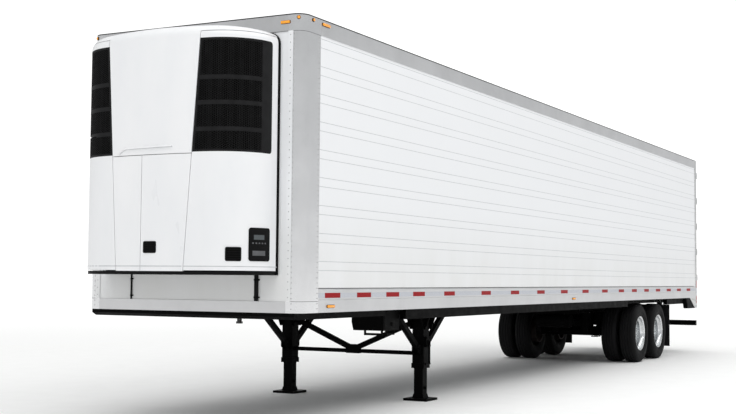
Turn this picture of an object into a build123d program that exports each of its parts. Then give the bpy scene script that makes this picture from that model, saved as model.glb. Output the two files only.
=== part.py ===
from build123d import *
import math
import os

# A refrigerated van semi-trailer that stands on its landing legs and its tandem wheels.
# Millimetres. +X points forward, +Y to the road side (left) and +Z up. The ground is z = 0
# and the origin lies under the middle of the whole trailer.

os.makedirs("parts", exist_ok=True)

# ---- Driving dimensions: the box body ----
BODY_LENGTH = 16154        # nose to the outer face of the rear doors (53 ft)
BODY_WIDTH = 2600          # over rails, corner posts and rear posts
TOP_Z = 4000               # top of the top rails
RAIL_BOTTOM_Z = 1115       # lower edge of the bottom rails
RAIL_TOP_Z = 1350          # where the white side wall starts
TOP_RAIL_HEIGHT = 166
FRONT_RAIL_HEIGHT = 110    # bottom rail across the nose
SIDE_WALL = 64             # insulated wall
FRONT_WALL = 94
ROOF_THICKNESS = 80
FLOOR_BOTTOM_Z = 1240
FLOOR_TOP_Z = 1370
SKIN_INSET = 6             # rails and posts stand this far outside the skins
POST_LEG = 165             # a front corner post's leg across the nose
POST_SIDE_LEG = 335        # and its leg along the side
POST_RADIUS = 125
REAR_POST_WIDTH = 90
REAR_POST_DEPTH = 124
REAR_SILL_BOTTOM_Z = 1000
REAR_TOE_Z = 900           # lower ends of the brackets under the rear corners
HEADER_HEIGHT = 150

# ---- Driving dimensions: the refrigeration unit on the nose ----
UNIT_DEPTH = 660
UNIT_WIDTH = 2080
UNIT_BOTTOM_Z = 1475
UNIT_BELOW_TOP = 150       # the unit's top below the box's
UNIT_TOP_Z = TOP_Z - UNIT_BELOW_TOP

# ---- Driving dimensions: running gear ----
AXLE_AHEAD = (4254, 3009)         # each axle ahead of the rear doors
TYRE_RADIUS = 515
TYRE_WIDTH = 280
DUAL_SPACING = 330                # between the two tyres of a pair
DUAL_CENTRE_Y = 984               # middle of a pair, also the wheels' mounting plane
LEG_DISTANCE = 3450               # nose to the landing legs
LEG_Y = 920
KINGPIN_DISTANCE = 914
COUPLER_Z = 1050                  # underside of the coupler plate

# ---- Clearances ----
RUNNING_GAP = 0.3                 # round a pin or spindle
DOOR_GAP = 6                      # round a door in its frame
PANEL_GAP = 6                     # between the unit's panels

# ---- Rear door hinges, which set how far the trailer reaches back ----
HINGE_BACK = 62                   # pin axis behind the doors' outer face
HINGE_EAR_RADIUS = 12
HINGE_PIN_RADIUS = 8
HINGE_Y = BODY_WIDTH / 2 - HINGE_EAR_RADIUS

REAR_PROUD = HINGE_BACK + HINGE_EAR_RADIUS
NOSE_X = (UNIT_DEPTH + BODY_LENGTH + REAR_PROUD) / 2 - UNIT_DEPTH
REAR_X = NOSE_X - BODY_LENGTH
HALF_WIDTH = BODY_WIDTH / 2
SKIN_Y = HALF_WIDTH - SKIN_INSET
INNER_Y = SKIN_Y - SIDE_WALL
TOP_RAIL_Z = TOP_Z - TOP_RAIL_HEIGHT
FRAME_REAR_X = REAR_X + SKIN_INSET
FRAME_FRONT_X = FRAME_REAR_X + REAR_POST_DEPTH


# ---- Small makers of shapes ----
def block(x, y, z):
    """A box between the two x, the two y and the two z."""
    size = Box(abs(x[1] - x[0]), abs(y[1] - y[0]), abs(z[1] - z[0]))
    return Pos((x[0] + x[1]) / 2, (y[0] + y[1]) / 2, (z[0] + z[1]) / 2) * size


def outline(points):
    return make_face(Polyline(*points, close=True))


def section_along_x(points, x_low, x_high):
    """A straight bar whose section is given as (y, z) points."""
    return extrude(Plane.YZ.offset(x_low) * outline(points), amount=x_high - x_low)


def section_along_y(points, y_low, y_high):
    """A straight bar whose section is given as (x, z) points."""
    return extrude(Plane.XZ.offset(-y_high) * outline(points), amount=y_high - y_low)


def rod(start, end, radius):
    """A round bar between two points."""
    a = Vector(*start)
    b = Vector(*end)
    return Plane(origin=a, z_dir=b - a) * extrude(Circle(radius), amount=(b - a).length)


def square_tube(start, end, side):
    """A square bar between two points."""
    a = Vector(*start)
    b = Vector(*end)
    return Plane(origin=a, z_dir=b - a) * extrude(Rectangle(side, side), amount=(b - a).length)


def turned(points, x, z):
    """A ring turned about the line y through (x, z), from (y, radius) points."""
    return Pos(x, 0, z) * revolve(Plane.YZ * outline(points), Axis.Y)


def other_side(shape):
    return mirror(shape, Plane.XZ)


def both_sides(shape):
    return [shape, other_side(shape)]


def save(name, solids):
    """Writes one sub-part from its solids."""
    found = []
    for piece in solids:
        found += list(piece.solids())
    whole = found[0] if len(found) == 1 else Compound(found)
    export_step(whole, f"parts/{name}.step")


def joined(pieces):
    """Welds pieces that touch into one shape."""
    whole = pieces[0]
    for piece in pieces[1:]:
        whole = whole + piece
    return [whole]


# ---- Floor, walls and roof ----
# Each is a foam-cored panel as thick as the whole wall.
CARGO_FRONT_X = NOSE_X - SKIN_INSET - FRONT_WALL
POST_REAR_X = NOSE_X - POST_SIDE_LEG

save("floor", [block((FRAME_FRONT_X, CARGO_FRONT_X), (-INNER_Y, INNER_Y), (FLOOR_BOTTOM_Z, FLOOR_TOP_Z))])
# The outer skin is laid in horizontal sheets: each pair of shallow seams is the edge of a lap.
SHEET_PITCH = 273.5
LAP_HEIGHT = 88
FIRST_SEAM = 177           # above the bottom rail
SEAM_DEPTH = 2.5
SEAM_HALF = 3
sheet_count = int((TOP_RAIL_Z - RAIL_TOP_Z - FIRST_SEAM - LAP_HEIGHT - SEAM_HALF) / SHEET_PITCH) + 1
skin_points = [(INNER_Y, RAIL_TOP_Z), (SKIN_Y, RAIL_TOP_Z)]
for number in range(sheet_count):
    for seam_z in (FIRST_SEAM, FIRST_SEAM + LAP_HEIGHT):
        z = RAIL_TOP_Z + number * SHEET_PITCH + seam_z
        skin_points += [(SKIN_Y, z - SEAM_HALF), (SKIN_Y - SEAM_DEPTH, z), (SKIN_Y, z + SEAM_HALF)]
skin_points += [(SKIN_Y, TOP_RAIL_Z), (INNER_Y, TOP_RAIL_Z)]
side_wall = section_along_x(skin_points, FRAME_FRONT_X, POST_REAR_X)
save("side_wall_left", [side_wall])
save("side_wall_right", [other_side(side_wall)])
POST_INNER_Y = HALF_WIDTH - POST_LEG
save("front_wall", [block(
    (CARGO_FRONT_X, NOSE_X - SKIN_INSET),
    (-POST_INNER_Y, POST_INNER_Y),
    (RAIL_BOTTOM_Z + FRONT_RAIL_HEIGHT, TOP_RAIL_Z),
)])

ROOF_LIP = 8               # the top rails' lips lie on the roof
ROOF_LIP_WIDTH = 15
ROOF_TOP_Z = TOP_Z - ROOF_LIP
save("roof", [block(
    (FRAME_FRONT_X, CARGO_FRONT_X), (-INNER_Y, INNER_Y), (ROOF_TOP_Z - ROOF_THICKNESS, ROOF_TOP_Z)
)])

# ---- Extruded aluminium rails ----
RAIL_WEB = 10
RAIL_FLANGE = 8
SEAM_Z = FLOOR_BOTTOM_Z    # a shallow seam runs along the bottom rail here
SEAM = 3
bottom_rail = section_along_x([
    (HALF_WIDTH, RAIL_BOTTOM_Z),
    (HALF_WIDTH, SEAM_Z - SEAM),
    (HALF_WIDTH - SEAM, SEAM_Z),
    (HALF_WIDTH, SEAM_Z + SEAM),
    (HALF_WIDTH, RAIL_TOP_Z - 2 * SKIN_INSET),
    (SKIN_Y, RAIL_TOP_Z),
    (INNER_Y, RAIL_TOP_Z),
    (INNER_Y, FLOOR_BOTTOM_Z - RAIL_FLANGE),
    (HALF_WIDTH - RAIL_WEB, FLOOR_BOTTOM_Z - RAIL_FLANGE),
    (HALF_WIDTH - RAIL_WEB, RAIL_BOTTOM_Z + RAIL_FLANGE),
    (INNER_Y, RAIL_BOTTOM_Z + RAIL_FLANGE),
    (INNER_Y, RAIL_BOTTOM_Z),
], FRAME_FRONT_X, POST_REAR_X)
front_bottom_rail = block(
    (CARGO_FRONT_X, NOSE_X),
    (-POST_INNER_Y, POST_INNER_Y),
    (RAIL_BOTTOM_Z, RAIL_BOTTOM_Z + FRONT_RAIL_HEIGHT),
)
save("bottom_rails", both_sides(bottom_rail) + [front_bottom_rail])

top_rail = section_along_x([
    (INNER_Y, TOP_RAIL_Z),
    (HALF_WIDTH, TOP_RAIL_Z),
    (HALF_WIDTH, TOP_Z - ROOF_LIP),
    (HALF_WIDTH - ROOF_LIP, TOP_Z),
    (INNER_Y - ROOF_LIP_WIDTH, TOP_Z),
    (INNER_Y - ROOF_LIP_WIDTH, ROOF_TOP_Z),
    (INNER_Y, ROOF_TOP_Z),
], FRAME_FRONT_X, POST_REAR_X)
front_top_rail = block((CARGO_FRONT_X, NOSE_X), (-POST_INNER_Y, POST_INNER_Y), (TOP_RAIL_Z, TOP_Z))
save("top_rails", both_sides(top_rail) + [front_top_rail])

# ---- Rounded front corners: posts and the castings that cap them ----
corner_lines = [
    Line((POST_REAR_X, HALF_WIDTH), (NOSE_X - POST_RADIUS, HALF_WIDTH)),
    CenterArc((NOSE_X - POST_RADIUS, HALF_WIDTH - POST_RADIUS), POST_RADIUS, 0, 90),
    Line((NOSE_X, HALF_WIDTH - POST_RADIUS), (NOSE_X, POST_INNER_Y)),
    Polyline(
        (NOSE_X, POST_INNER_Y),
        (CARGO_FRONT_X, POST_INNER_Y),
        (CARGO_FRONT_X, INNER_Y),
        (POST_REAR_X, INNER_Y),
        (POST_REAR_X, HALF_WIDTH),
    ),
]
corner_plan = make_face(Curve() + corner_lines)
corner_post = Pos(0, 0, RAIL_BOTTOM_Z) * extrude(corner_plan, amount=TOP_RAIL_Z - RAIL_BOTTOM_Z)
corner_cap = Pos(0, 0, TOP_RAIL_Z) * extrude(corner_plan, amount=TOP_RAIL_HEIGHT)
save("front_corner_posts", both_sides(corner_post))
save("front_corner_caps", both_sides(corner_cap))

# ---- Rear frame: two posts, a header and a deep sill ----
rear_depth = (FRAME_REAR_X, FRAME_FRONT_X)
DOORWAY_HALF = HALF_WIDTH - REAR_POST_WIDTH
HEADER_Z = TOP_Z - HEADER_HEIGHT
GUSSET_THICK = 8           # plates that face the rear brackets, under the bottom rails
GUSSET_REACH = 620         # ahead of the frame's rear at the rail, and at the toe
GUSSET_TOE = 170
rear_post = joined([
    block(rear_depth, (DOORWAY_HALF, HALF_WIDTH), (RAIL_BOTTOM_Z, TOP_Z)),
    section_along_y([
        (FRAME_REAR_X, RAIL_BOTTOM_Z),
        (FRAME_REAR_X, REAR_TOE_Z),
        (FRAME_REAR_X + GUSSET_TOE, REAR_TOE_Z),
        (FRAME_REAR_X + GUSSET_REACH, RAIL_BOTTOM_Z),
    ], HALF_WIDTH - GUSSET_THICK, HALF_WIDTH),
])[0]
save("rear_posts", both_sides(rear_post))
save("rear_header", [block(rear_depth, (-DOORWAY_HALF, DOORWAY_HALF), (HEADER_Z, TOP_Z))])
save("rear_sill", joined([
    block(rear_depth, (-DOORWAY_HALF, DOORWAY_HALF), (RAIL_BOTTOM_Z, FLOOR_TOP_Z)),
    block(rear_depth, (GUSSET_THICK - HALF_WIDTH, HALF_WIDTH - GUSSET_THICK), (REAR_SILL_BOTTOM_Z, RAIL_BOTTOM_Z)),
]))

# ---- Cross members under the floor ----
MEMBER_PITCH = 355
MEMBER_WIDTH = 60
MEMBER_WEB = 8
MEMBER_FLANGE = 8
MEMBER_FIRST = 250         # nose to the first member
member_section = [
    (-MEMBER_WIDTH / 2, RAIL_BOTTOM_Z),
    (MEMBER_WIDTH / 2, RAIL_BOTTOM_Z),
    (MEMBER_WIDTH / 2, RAIL_BOTTOM_Z + MEMBER_FLANGE),
    (MEMBER_WEB / 2, RAIL_BOTTOM_Z + MEMBER_FLANGE),
    (MEMBER_WEB / 2, FLOOR_BOTTOM_Z - MEMBER_FLANGE),
    (MEMBER_WIDTH / 2, FLOOR_BOTTOM_Z - MEMBER_FLANGE),
    (MEMBER_WIDTH / 2, FLOOR_BOTTOM_Z),
    (-MEMBER_WIDTH / 2, FLOOR_BOTTOM_Z),
    (-MEMBER_WIDTH / 2, FLOOR_BOTTOM_Z - MEMBER_FLANGE),
    (-MEMBER_WEB / 2, FLOOR_BOTTOM_Z - MEMBER_FLANGE),
    (-MEMBER_WEB / 2, RAIL_BOTTOM_Z + MEMBER_FLANGE),
    (-MEMBER_WIDTH / 2, RAIL_BOTTOM_Z + MEMBER_FLANGE),
]
member = section_along_y(member_section, -INNER_Y, INNER_Y)
MEMBER_COUNT = int((BODY_LENGTH - MEMBER_FIRST - REAR_POST_DEPTH - MEMBER_WIDTH) / MEMBER_PITCH) + 1
members = []
for number in range(MEMBER_COUNT):
    members.append(Pos(NOSE_X - MEMBER_FIRST - number * MEMBER_PITCH, 0, 0) * member)
save("cross_members", members)

# ---- Coupler plate and kingpin ----
COUPLER_LENGTH = 1900
COUPLER_TOE = 60           # the plate's front edge turns up
PLATE_FRONT_X = NOSE_X - SKIN_INSET
save("coupler_plate", [section_along_y([
    (PLATE_FRONT_X - COUPLER_LENGTH, COUPLER_Z),
    (PLATE_FRONT_X - COUPLER_TOE, COUPLER_Z),
    (PLATE_FRONT_X, COUPLER_Z + COUPLER_TOE / 2),
    (PLATE_FRONT_X, RAIL_BOTTOM_Z),
    (PLATE_FRONT_X - COUPLER_LENGTH, RAIL_BOTTOM_Z),
], -INNER_Y, INNER_Y)])

# Two-inch kingpin: (radius, height) from the plate down.
KINGPIN_STEPS = ((36.5, 28), (25.4, 35), (35.7, 21))
kingpin_steps = []
step_top = COUPLER_Z
for radius, height in KINGPIN_STEPS:
    step = extrude(Circle(radius), amount=height)
    kingpin_steps.append(Pos(NOSE_X - KINGPIN_DISTANCE, 0, step_top - height) * step)
    step_top -= height
save("kingpin", joined(kingpin_steps))

# ---- Landing gear ----
LEG_X = NOSE_X - LEG_DISTANCE
LEG_TUBE = 150
LEG_INNER = 118
LEG_TUBE_BOTTOM_Z = 385
LEG_COLLAR = 8             # a collar stands this far proud of each tube's lower end
LEG_COLLAR_HEIGHT = 60
SHOE_SIDE = 310
SHOE_PLATE = 28
SHOE_SOCKET = 150          # side of the flared socket on the shoe, at its foot
SHOE_SOCKET_HEIGHT = 50
SHOE_FLARE = 14            # degrees
WING_THICK = 12            # mounting plates on both sides of each leg
WING_TOP_HALF = 200
WING_BOTTOM_HALF = 110
WING_BOTTOM_Z = 850
WING_SHOULDER_Z = 1000
CROSS_PLATE_HALF = (105, 195)  # plates across the front and back of each leg: half widths below, above


def leg_block(side, z_low, z_high):
    """A square length of a leg."""
    half = side / 2
    return block((LEG_X - half, LEG_X + half), (LEG_Y - half, LEG_Y + half), (z_low, z_high))


leg = joined([
    leg_block(LEG_TUBE, LEG_TUBE_BOTTOM_Z, RAIL_BOTTOM_Z),
    leg_block(LEG_TUBE + 2 * LEG_COLLAR, LEG_TUBE_BOTTOM_Z, LEG_TUBE_BOTTOM_Z + LEG_COLLAR_HEIGHT),
    leg_block(LEG_INNER, SHOE_PLATE, LEG_TUBE_BOTTOM_Z),
    leg_block(SHOE_SIDE, 0, SHOE_PLATE),
    Pos(LEG_X, LEG_Y, SHOE_PLATE)
    * extrude(Rectangle(SHOE_SOCKET, SHOE_SOCKET), amount=SHOE_SOCKET_HEIGHT, taper=SHOE_FLARE),
] + [
    section_along_y([
        (LEG_X - WING_TOP_HALF, RAIL_BOTTOM_Z),
        (LEG_X - WING_TOP_HALF, WING_SHOULDER_Z),
        (LEG_X - WING_BOTTOM_HALF, WING_BOTTOM_Z),
        (LEG_X + WING_BOTTOM_HALF, WING_BOTTOM_Z),
        (LEG_X + WING_TOP_HALF, WING_SHOULDER_Z),
        (LEG_X + WING_TOP_HALF, RAIL_BOTTOM_Z),
    ], wing_y, wing_y + WING_THICK)
    for wing_y in (LEG_Y - LEG_TUBE / 2 - WING_THICK, LEG_Y + LEG_TUBE / 2)
] + [
    section_along_x([
        (LEG_Y - CROSS_PLATE_HALF[0], WING_BOTTOM_Z),
        (LEG_Y + CROSS_PLATE_HALF[0], WING_BOTTOM_Z),
        (LEG_Y + CROSS_PLATE_HALF[1], RAIL_BOTTOM_Z),
        (LEG_Y - CROSS_PLATE_HALF[1], RAIL_BOTTOM_Z),
    ], plate_x, plate_x + WING_THICK)
    for plate_x in (LEG_X - LEG_TUBE / 2 - WING_THICK, LEG_X + LEG_TUBE / 2)
])
save("landing_legs", both_sides(leg[0]))

# Braces: a V pair and a cross tube between the legs, and one ahead of and one behind each leg.
BRACE_SIDE = 60
BRACE_LOW_Z = 560
BRACE_HIGH_Z = 1030
BRACE_REACH = 650          # fore and aft, from the leg to a brace's top
HANGER_PLATE_HALF = 75     # plates under the floor that the brace tops bolt to
HANGER_PLATE_HEIGHT = 130
CROSS_TUBE_Z = 560
CROSS_TUBE_RADIUS = 25
CENTRE_HALF = 90           # box at the middle of the cross tube that the V pair meets
CENTRE_DROP = 30
CENTRE_RISE = 80
CENTRE_THICK = 60
V_BRACE_TOP_Z = 940
LEG_INBOARD_Y = LEG_Y - LEG_TUBE / 2
braces = [
    rod((LEG_X, -LEG_INBOARD_Y, CROSS_TUBE_Z), (LEG_X, LEG_INBOARD_Y, CROSS_TUBE_Z), CROSS_TUBE_RADIUS),
    block(
        (LEG_X - CENTRE_THICK / 2, LEG_X + CENTRE_THICK / 2),
        (-CENTRE_HALF, CENTRE_HALF),
        (CROSS_TUBE_Z - CENTRE_DROP, CROSS_TUBE_Z + CENTRE_RISE),
    ),
]
for side in (-1, 1):
    braces.append(square_tube(
        (LEG_X, side * CENTRE_HALF / 2, CROSS_TUBE_Z + CENTRE_RISE / 2),
        (LEG_X, side * LEG_INBOARD_Y, V_BRACE_TOP_Z),
        BRACE_SIDE,
    ))
middle_braces = joined(braces)[0] - leg[0] - other_side(leg[0])
fore_and_aft = []
for way in (-1, 1):
    brace = square_tube(
        (LEG_X, LEG_Y, BRACE_LOW_Z), (LEG_X + way * BRACE_REACH, LEG_Y, BRACE_HIGH_Z), BRACE_SIDE
    )
    hanger = block(
        (LEG_X + way * BRACE_REACH - HANGER_PLATE_HALF, LEG_X + way * BRACE_REACH + HANGER_PLATE_HALF),
        (LEG_Y - BRACE_SIDE / 2, LEG_Y + BRACE_SIDE / 2),
        (RAIL_BOTTOM_Z - HANGER_PLATE_HEIGHT, RAIL_BOTTOM_Z),
    )
    fore_and_aft.append(joined([brace, hanger])[0] - leg[0])
save("landing_gear_braces", [middle_braces] + fore_and_aft + [other_side(brace) for brace in fore_and_aft])

GEARBOX = 120
GEARBOX_DEPTH = 30
CRANK_RADIUS = 12
CRANK_Z = 700
CRANK_DROP = 260           # the handle is folded down along the leg, with its grip forward
CRANK_GRIP = 110
gearbox_outer_y = LEG_Y + LEG_TUBE / 2
CRANK_END_Y = gearbox_outer_y + GEARBOX_DEPTH + 2 * CRANK_RADIUS
crank_y = CRANK_END_Y - CRANK_RADIUS
crank_low_z = CRANK_Z - CRANK_DROP
save("landing_gear_crank", joined([
    block(
        (LEG_X - GEARBOX / 2, LEG_X + GEARBOX / 2),
        (gearbox_outer_y, gearbox_outer_y + GEARBOX_DEPTH),
        (CRANK_Z - GEARBOX / 2, CRANK_Z + GEARBOX / 2),
    ),
    rod((LEG_X, gearbox_outer_y, CRANK_Z), (LEG_X, CRANK_END_Y, CRANK_Z), CRANK_RADIUS),
    rod((LEG_X, crank_y, CRANK_Z + CRANK_RADIUS), (LEG_X, crank_y, crank_low_z), CRANK_RADIUS),
    rod((LEG_X - CRANK_RADIUS, crank_y, crank_low_z), (LEG_X + CRANK_GRIP, crank_y, crank_low_z), CRANK_RADIUS),
]))

# ---- Equipment box hung ahead of the road-side leg, with two bent-bar guards below it ----
BOX_CLEAR = 114            # behind the coupler plate
BOX_LENGTH = 380
BOX_INSET = 150            # its outer face from the body's side
BOX_WIDTH = 400
BOX_HEIGHT = 235
BOX_CHAMFER = 90           # at its lower inboard edge
GUARD_BAR_RADIUS = 13
GUARD_BAR_DROP = 40
box_bottom_z = RAIL_BOTTOM_Z - BOX_HEIGHT
box_front_x = PLATE_FRONT_X - COUPLER_LENGTH - BOX_CLEAR
box_x = (box_front_x - BOX_LENGTH, box_front_x)
BOX_Y = (HALF_WIDTH - BOX_INSET - BOX_WIDTH, HALF_WIDTH - BOX_INSET)
box_pieces = [section_along_x([
    (BOX_Y[0], RAIL_BOTTOM_Z),
    (BOX_Y[0], box_bottom_z + BOX_CHAMFER),
    (BOX_Y[0] + BOX_CHAMFER / 4, box_bottom_z),
    (BOX_Y[1], box_bottom_z),
    (BOX_Y[1], RAIL_BOTTOM_Z),
], *box_x)]
GUARD_BARS = (             # two ends of each bar, x ahead of the box's rear and y inboard of its outer face
    ((340, 250), (340, 40)),
    ((240, 40), (60, 40)),
)
for ends in GUARD_BARS:
    feet = [(box_x[0] + ahead, BOX_Y[1] - inboard) for ahead, inboard in ends]
    low_z = box_bottom_z - GUARD_BAR_DROP
    for x, y in feet:
        box_pieces.append(rod((x, y, box_bottom_z + GUARD_BAR_RADIUS), (x, y, low_z - GUARD_BAR_RADIUS),
                              GUARD_BAR_RADIUS))
    box_pieces.append(rod((*feet[0], low_z), (*feet[1], low_z), GUARD_BAR_RADIUS))
save("equipment_box", joined(box_pieces))

# ---- Sliding tandem: body rails, slider, arms, springs and axles ----
BODY_RAIL_LENGTH = 7600
BODY_RAIL_CLEAR = 224      # rails end this far ahead of the rear sill
BODY_RAIL_HEIGHT = 115
CHANNEL_INSET = 75         # side channels under the bottom rails, from the body's side
CHANNEL_WIDTH = 75
CHANNEL_Y = (HALF_WIDTH - CHANNEL_INSET - CHANNEL_WIDTH, HALF_WIDTH - CHANNEL_INSET)
CHANNEL_HEIGHT = 115
CHANNEL_CLEAR = 20         # channels end this far from the equipment box and the rear brackets
CHANNEL_TYRE_GAP = 135     # and this far from the front and rear tyres
CHANNEL_FLAP_GAP = 300
BRACKET_REACH = (760, 900) # rear brackets, ahead of the frame's rear at the toe and at the rail
AXLE_X = [REAR_X + ahead for ahead in AXLE_AHEAD]
CHANNEL_RUNS = (           # each channel's rear and front end
    (AXLE_X[0] + TYRE_RADIUS + CHANNEL_TYRE_GAP, box_x[0] - CHANNEL_CLEAR),
    (FRAME_REAR_X + BRACKET_REACH[1] + CHANNEL_CLEAR, AXLE_X[1] - TYRE_RADIUS - CHANNEL_FLAP_GAP),
)
BODY_RAIL_WIDTH = 90
BODY_RAIL_Y = 440
rail_y = (BODY_RAIL_Y - BODY_RAIL_WIDTH / 2, BODY_RAIL_Y + BODY_RAIL_WIDTH / 2)
BODY_RAIL_BOTTOM_Z = RAIL_BOTTOM_Z - BODY_RAIL_HEIGHT
body_rail_rear_x = FRAME_FRONT_X + BODY_RAIL_CLEAR
body_rail = block(
    (body_rail_rear_x, body_rail_rear_x + BODY_RAIL_LENGTH),
    rail_y,
    (BODY_RAIL_BOTTOM_Z, RAIL_BOTTOM_Z),
)
channels = [
    block(run, CHANNEL_Y, (RAIL_BOTTOM_Z - CHANNEL_HEIGHT, RAIL_BOTTOM_Z))
    for run in CHANNEL_RUNS
]
save("body_rails", both_sides(body_rail) + channels + [other_side(channel) for channel in channels])

SLIDER_AHEAD = 1100        # slider's front end ahead of the front axle
SLIDER_BEHIND = 980        # and its rear end behind the rear axle
SLIDER_HEIGHT = 120
HANGER_AHEAD = 520         # arm pivot ahead of its axle
HANGER_LENGTH = 180
HANGER_BOTTOM_Z = 600
HANGER_TIE = 120           # depth of the tubes that tie the hangers across
ARM_HEIGHT = 90
ARM_WIDTH = 76
SPRING_BEHIND = 330        # air spring's centre behind its axle
SPRING_RADIUS = 140
AXLE_RADIUS = 63.5
AXLE_Z = TYRE_RADIUS
SLIDER_BOTTOM_Z = BODY_RAIL_BOTTOM_Z - SLIDER_HEIGHT
slider_pieces = [
    block((AXLE_X[1] - SLIDER_BEHIND, AXLE_X[0] + SLIDER_AHEAD),
          (side * rail_y[0], side * rail_y[1]), (SLIDER_BOTTOM_Z, BODY_RAIL_BOTTOM_Z))
    for side in (-1, 1)
]
CROSS_SIDE = 90
CROSS_X = [
    AXLE_X[1] - SLIDER_BEHIND + CROSS_SIDE / 2,
    AXLE_X[1] + HANGER_AHEAD,
    AXLE_X[0] + HANGER_AHEAD,
    AXLE_X[0] + SLIDER_AHEAD - CROSS_SIDE / 2,
]
for x in CROSS_X:
    slider_pieces.append(block(
        (x - CROSS_SIDE / 2, x + CROSS_SIDE / 2), (-rail_y[1], rail_y[1]), (SLIDER_BOTTOM_Z, BODY_RAIL_BOTTOM_Z - 10)
    ))
for x in AXLE_X:
    for side in (-1, 1):
        slider_pieces.append(block(
            (x + HANGER_AHEAD - HANGER_LENGTH / 2, x + HANGER_AHEAD + HANGER_LENGTH / 2),
            (side * rail_y[0], side * rail_y[1]),
            (HANGER_BOTTOM_Z, SLIDER_BOTTOM_Z),
        ))
    slider_pieces.append(block(
        (x + HANGER_AHEAD - HANGER_TIE / 2, x + HANGER_AHEAD + HANGER_TIE / 2),
        (-rail_y[0], rail_y[0]),
        (HANGER_BOTTOM_Z + HANGER_TIE / 4, HANGER_BOTTOM_Z + HANGER_TIE * 5 / 4),
    ))
save("slider_frame", joined(slider_pieces))

# Air tanks strapped under the slider's front and rear cross members.
TANK_RADIUS = 115
TANK_HALF = 305
TANK_SADDLE = 60           # width of each strap's saddle
TANK_GAP = 20
TANK_BAR = 100             # a flat bar between the slider's rails carries each tank
TANK_BAR_THICK = 20
TANK_BELOW_BAR = 8         # the saddles alone join the tank to its bar
TANK_X = (
    AXLE_X[0] + SLIDER_AHEAD - CROSS_SIDE - TANK_GAP,
    AXLE_X[1] + HANGER_AHEAD + HANGER_TIE / 2 + TANK_RADIUS + TANK_GAP,
)
bar_z = SLIDER_BOTTOM_Z - TANK_BAR_THICK
tank_z = bar_z - TANK_BELOW_BAR - TANK_RADIUS
tanks = []
for x in TANK_X:
    pieces = [
        rod((x, -TANK_HALF, tank_z), (x, TANK_HALF, tank_z), TANK_RADIUS),
        block((x - TANK_BAR / 2, x + TANK_BAR / 2), (-BODY_RAIL_Y, BODY_RAIL_Y), (bar_z, SLIDER_BOTTOM_Z)),
    ]
    for side in (-1, 1):
        saddle_y = side * (TANK_HALF - TANK_SADDLE)
        pieces.append(block(
            (x - TANK_BAR / 2, x + TANK_BAR / 2),
            (saddle_y - TANK_SADDLE / 2, saddle_y + TANK_SADDLE / 2),
            (tank_z, bar_z),
        ))
    tanks += joined(pieces)
save("air_tanks", tanks)

# Air spring: a bellows on a narrower piston, as (radius, share of its height).
SPRING_ROWS = ((0.68, 0), (0.62, 0.34), (0.9, 0.42), (1, 0.55), (1, 0.8), (0.9, 0.92), (0.8, 1))
spring_height = SLIDER_BOTTOM_Z - HANGER_BOTTOM_Z
spring_points = [(SPRING_RADIUS * share, spring_height * level) for share, level in SPRING_ROWS]
air_spring = revolve(Plane.XZ * outline([(0, 0)] + spring_points + [(0, spring_height)]), Axis.Z)
arm_y = (BODY_RAIL_Y - ARM_WIDTH / 2, BODY_RAIL_Y + ARM_WIDTH / 2)
arms = []
springs = []
ARM_TOP_Z = HANGER_BOTTOM_Z
ARM_BOTTOM_Z = ARM_TOP_Z - ARM_HEIGHT
axle_bore_z = AXLE_Z + AXLE_RADIUS
for x in AXLE_X:
    for side in (-1, 1):
        seat = section_along_y([
            (x + HANGER_AHEAD + HANGER_LENGTH / 2, ARM_TOP_Z),
            (x - SPRING_BEHIND - SPRING_RADIUS, ARM_TOP_Z),
            (x - SPRING_BEHIND - SPRING_RADIUS, ARM_TOP_Z - ARM_HEIGHT / 3),
            (x - 2 * AXLE_RADIUS, ARM_BOTTOM_Z),
            (x + HANGER_AHEAD + HANGER_LENGTH / 2, ARM_BOTTOM_Z),
        ], *sorted((side * arm_y[0], side * arm_y[1])))
        arms.append(seat - rod((x, side * rail_y[0], AXLE_Z), (x, side * rail_y[1], AXLE_Z), AXLE_RADIUS))
        springs.append(Pos(x - SPRING_BEHIND, side * BODY_RAIL_Y, ARM_TOP_Z) * air_spring)
save("trailing_arms", arms)
save("air_springs", springs)

SPINDLE_RADIUS = 45
SPINDLE_END_Y = DUAL_CENTRE_Y + 110
BEAM_END_Y = 600
CHAMBER_RADIUS = 80
CHAMBER_LENGTH = 170
axles = []
for x in AXLE_X:
    pieces = [
        rod((x, -BEAM_END_Y, AXLE_Z), (x, BEAM_END_Y, AXLE_Z), AXLE_RADIUS),
        rod((x, -SPINDLE_END_Y, AXLE_Z), (x, SPINDLE_END_Y, AXLE_Z), SPINDLE_RADIUS),
    ]
    for side in (-1, 1):
        chamber_y = side * (rail_y[0] - CHAMBER_RADIUS - 30)
        pieces.append(rod(
            (x, chamber_y, AXLE_Z + AXLE_RADIUS),
            (x + CHAMBER_LENGTH, chamber_y, AXLE_Z + AXLE_RADIUS),
            CHAMBER_RADIUS,
        ))
    axles += joined(pieces)
save("axles", axles)

# ---- Dual wheels: two tyres, two aluminium rims, hub and brake drum turn together ----
RIM_EDGE_RADIUS = 305
BEAD_RADIUS = 286
WELL_RADIUS = 255
RIM_HALF = 117             # half the rim's overall width
RIM_INSIDE_HALF = 105      # half the width between its flanges
RIM_WALL = 9
DISC_RADIUS = 235
DISC_THICK = 22
HUB_BORE = SPINDLE_RADIUS + RUNNING_GAP
HUB_FLANGE_RADIUS = 168
DRUM_RADIUS = 215
DRUM_Y = (640, 880)
DRUM_WALL = 20
CAP_RADIUS = 78
OUTER_Y = DUAL_CENTRE_Y + DUAL_SPACING / 2
INNER_TYRE_Y = DUAL_CENTRE_Y - DUAL_SPACING / 2


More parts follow.
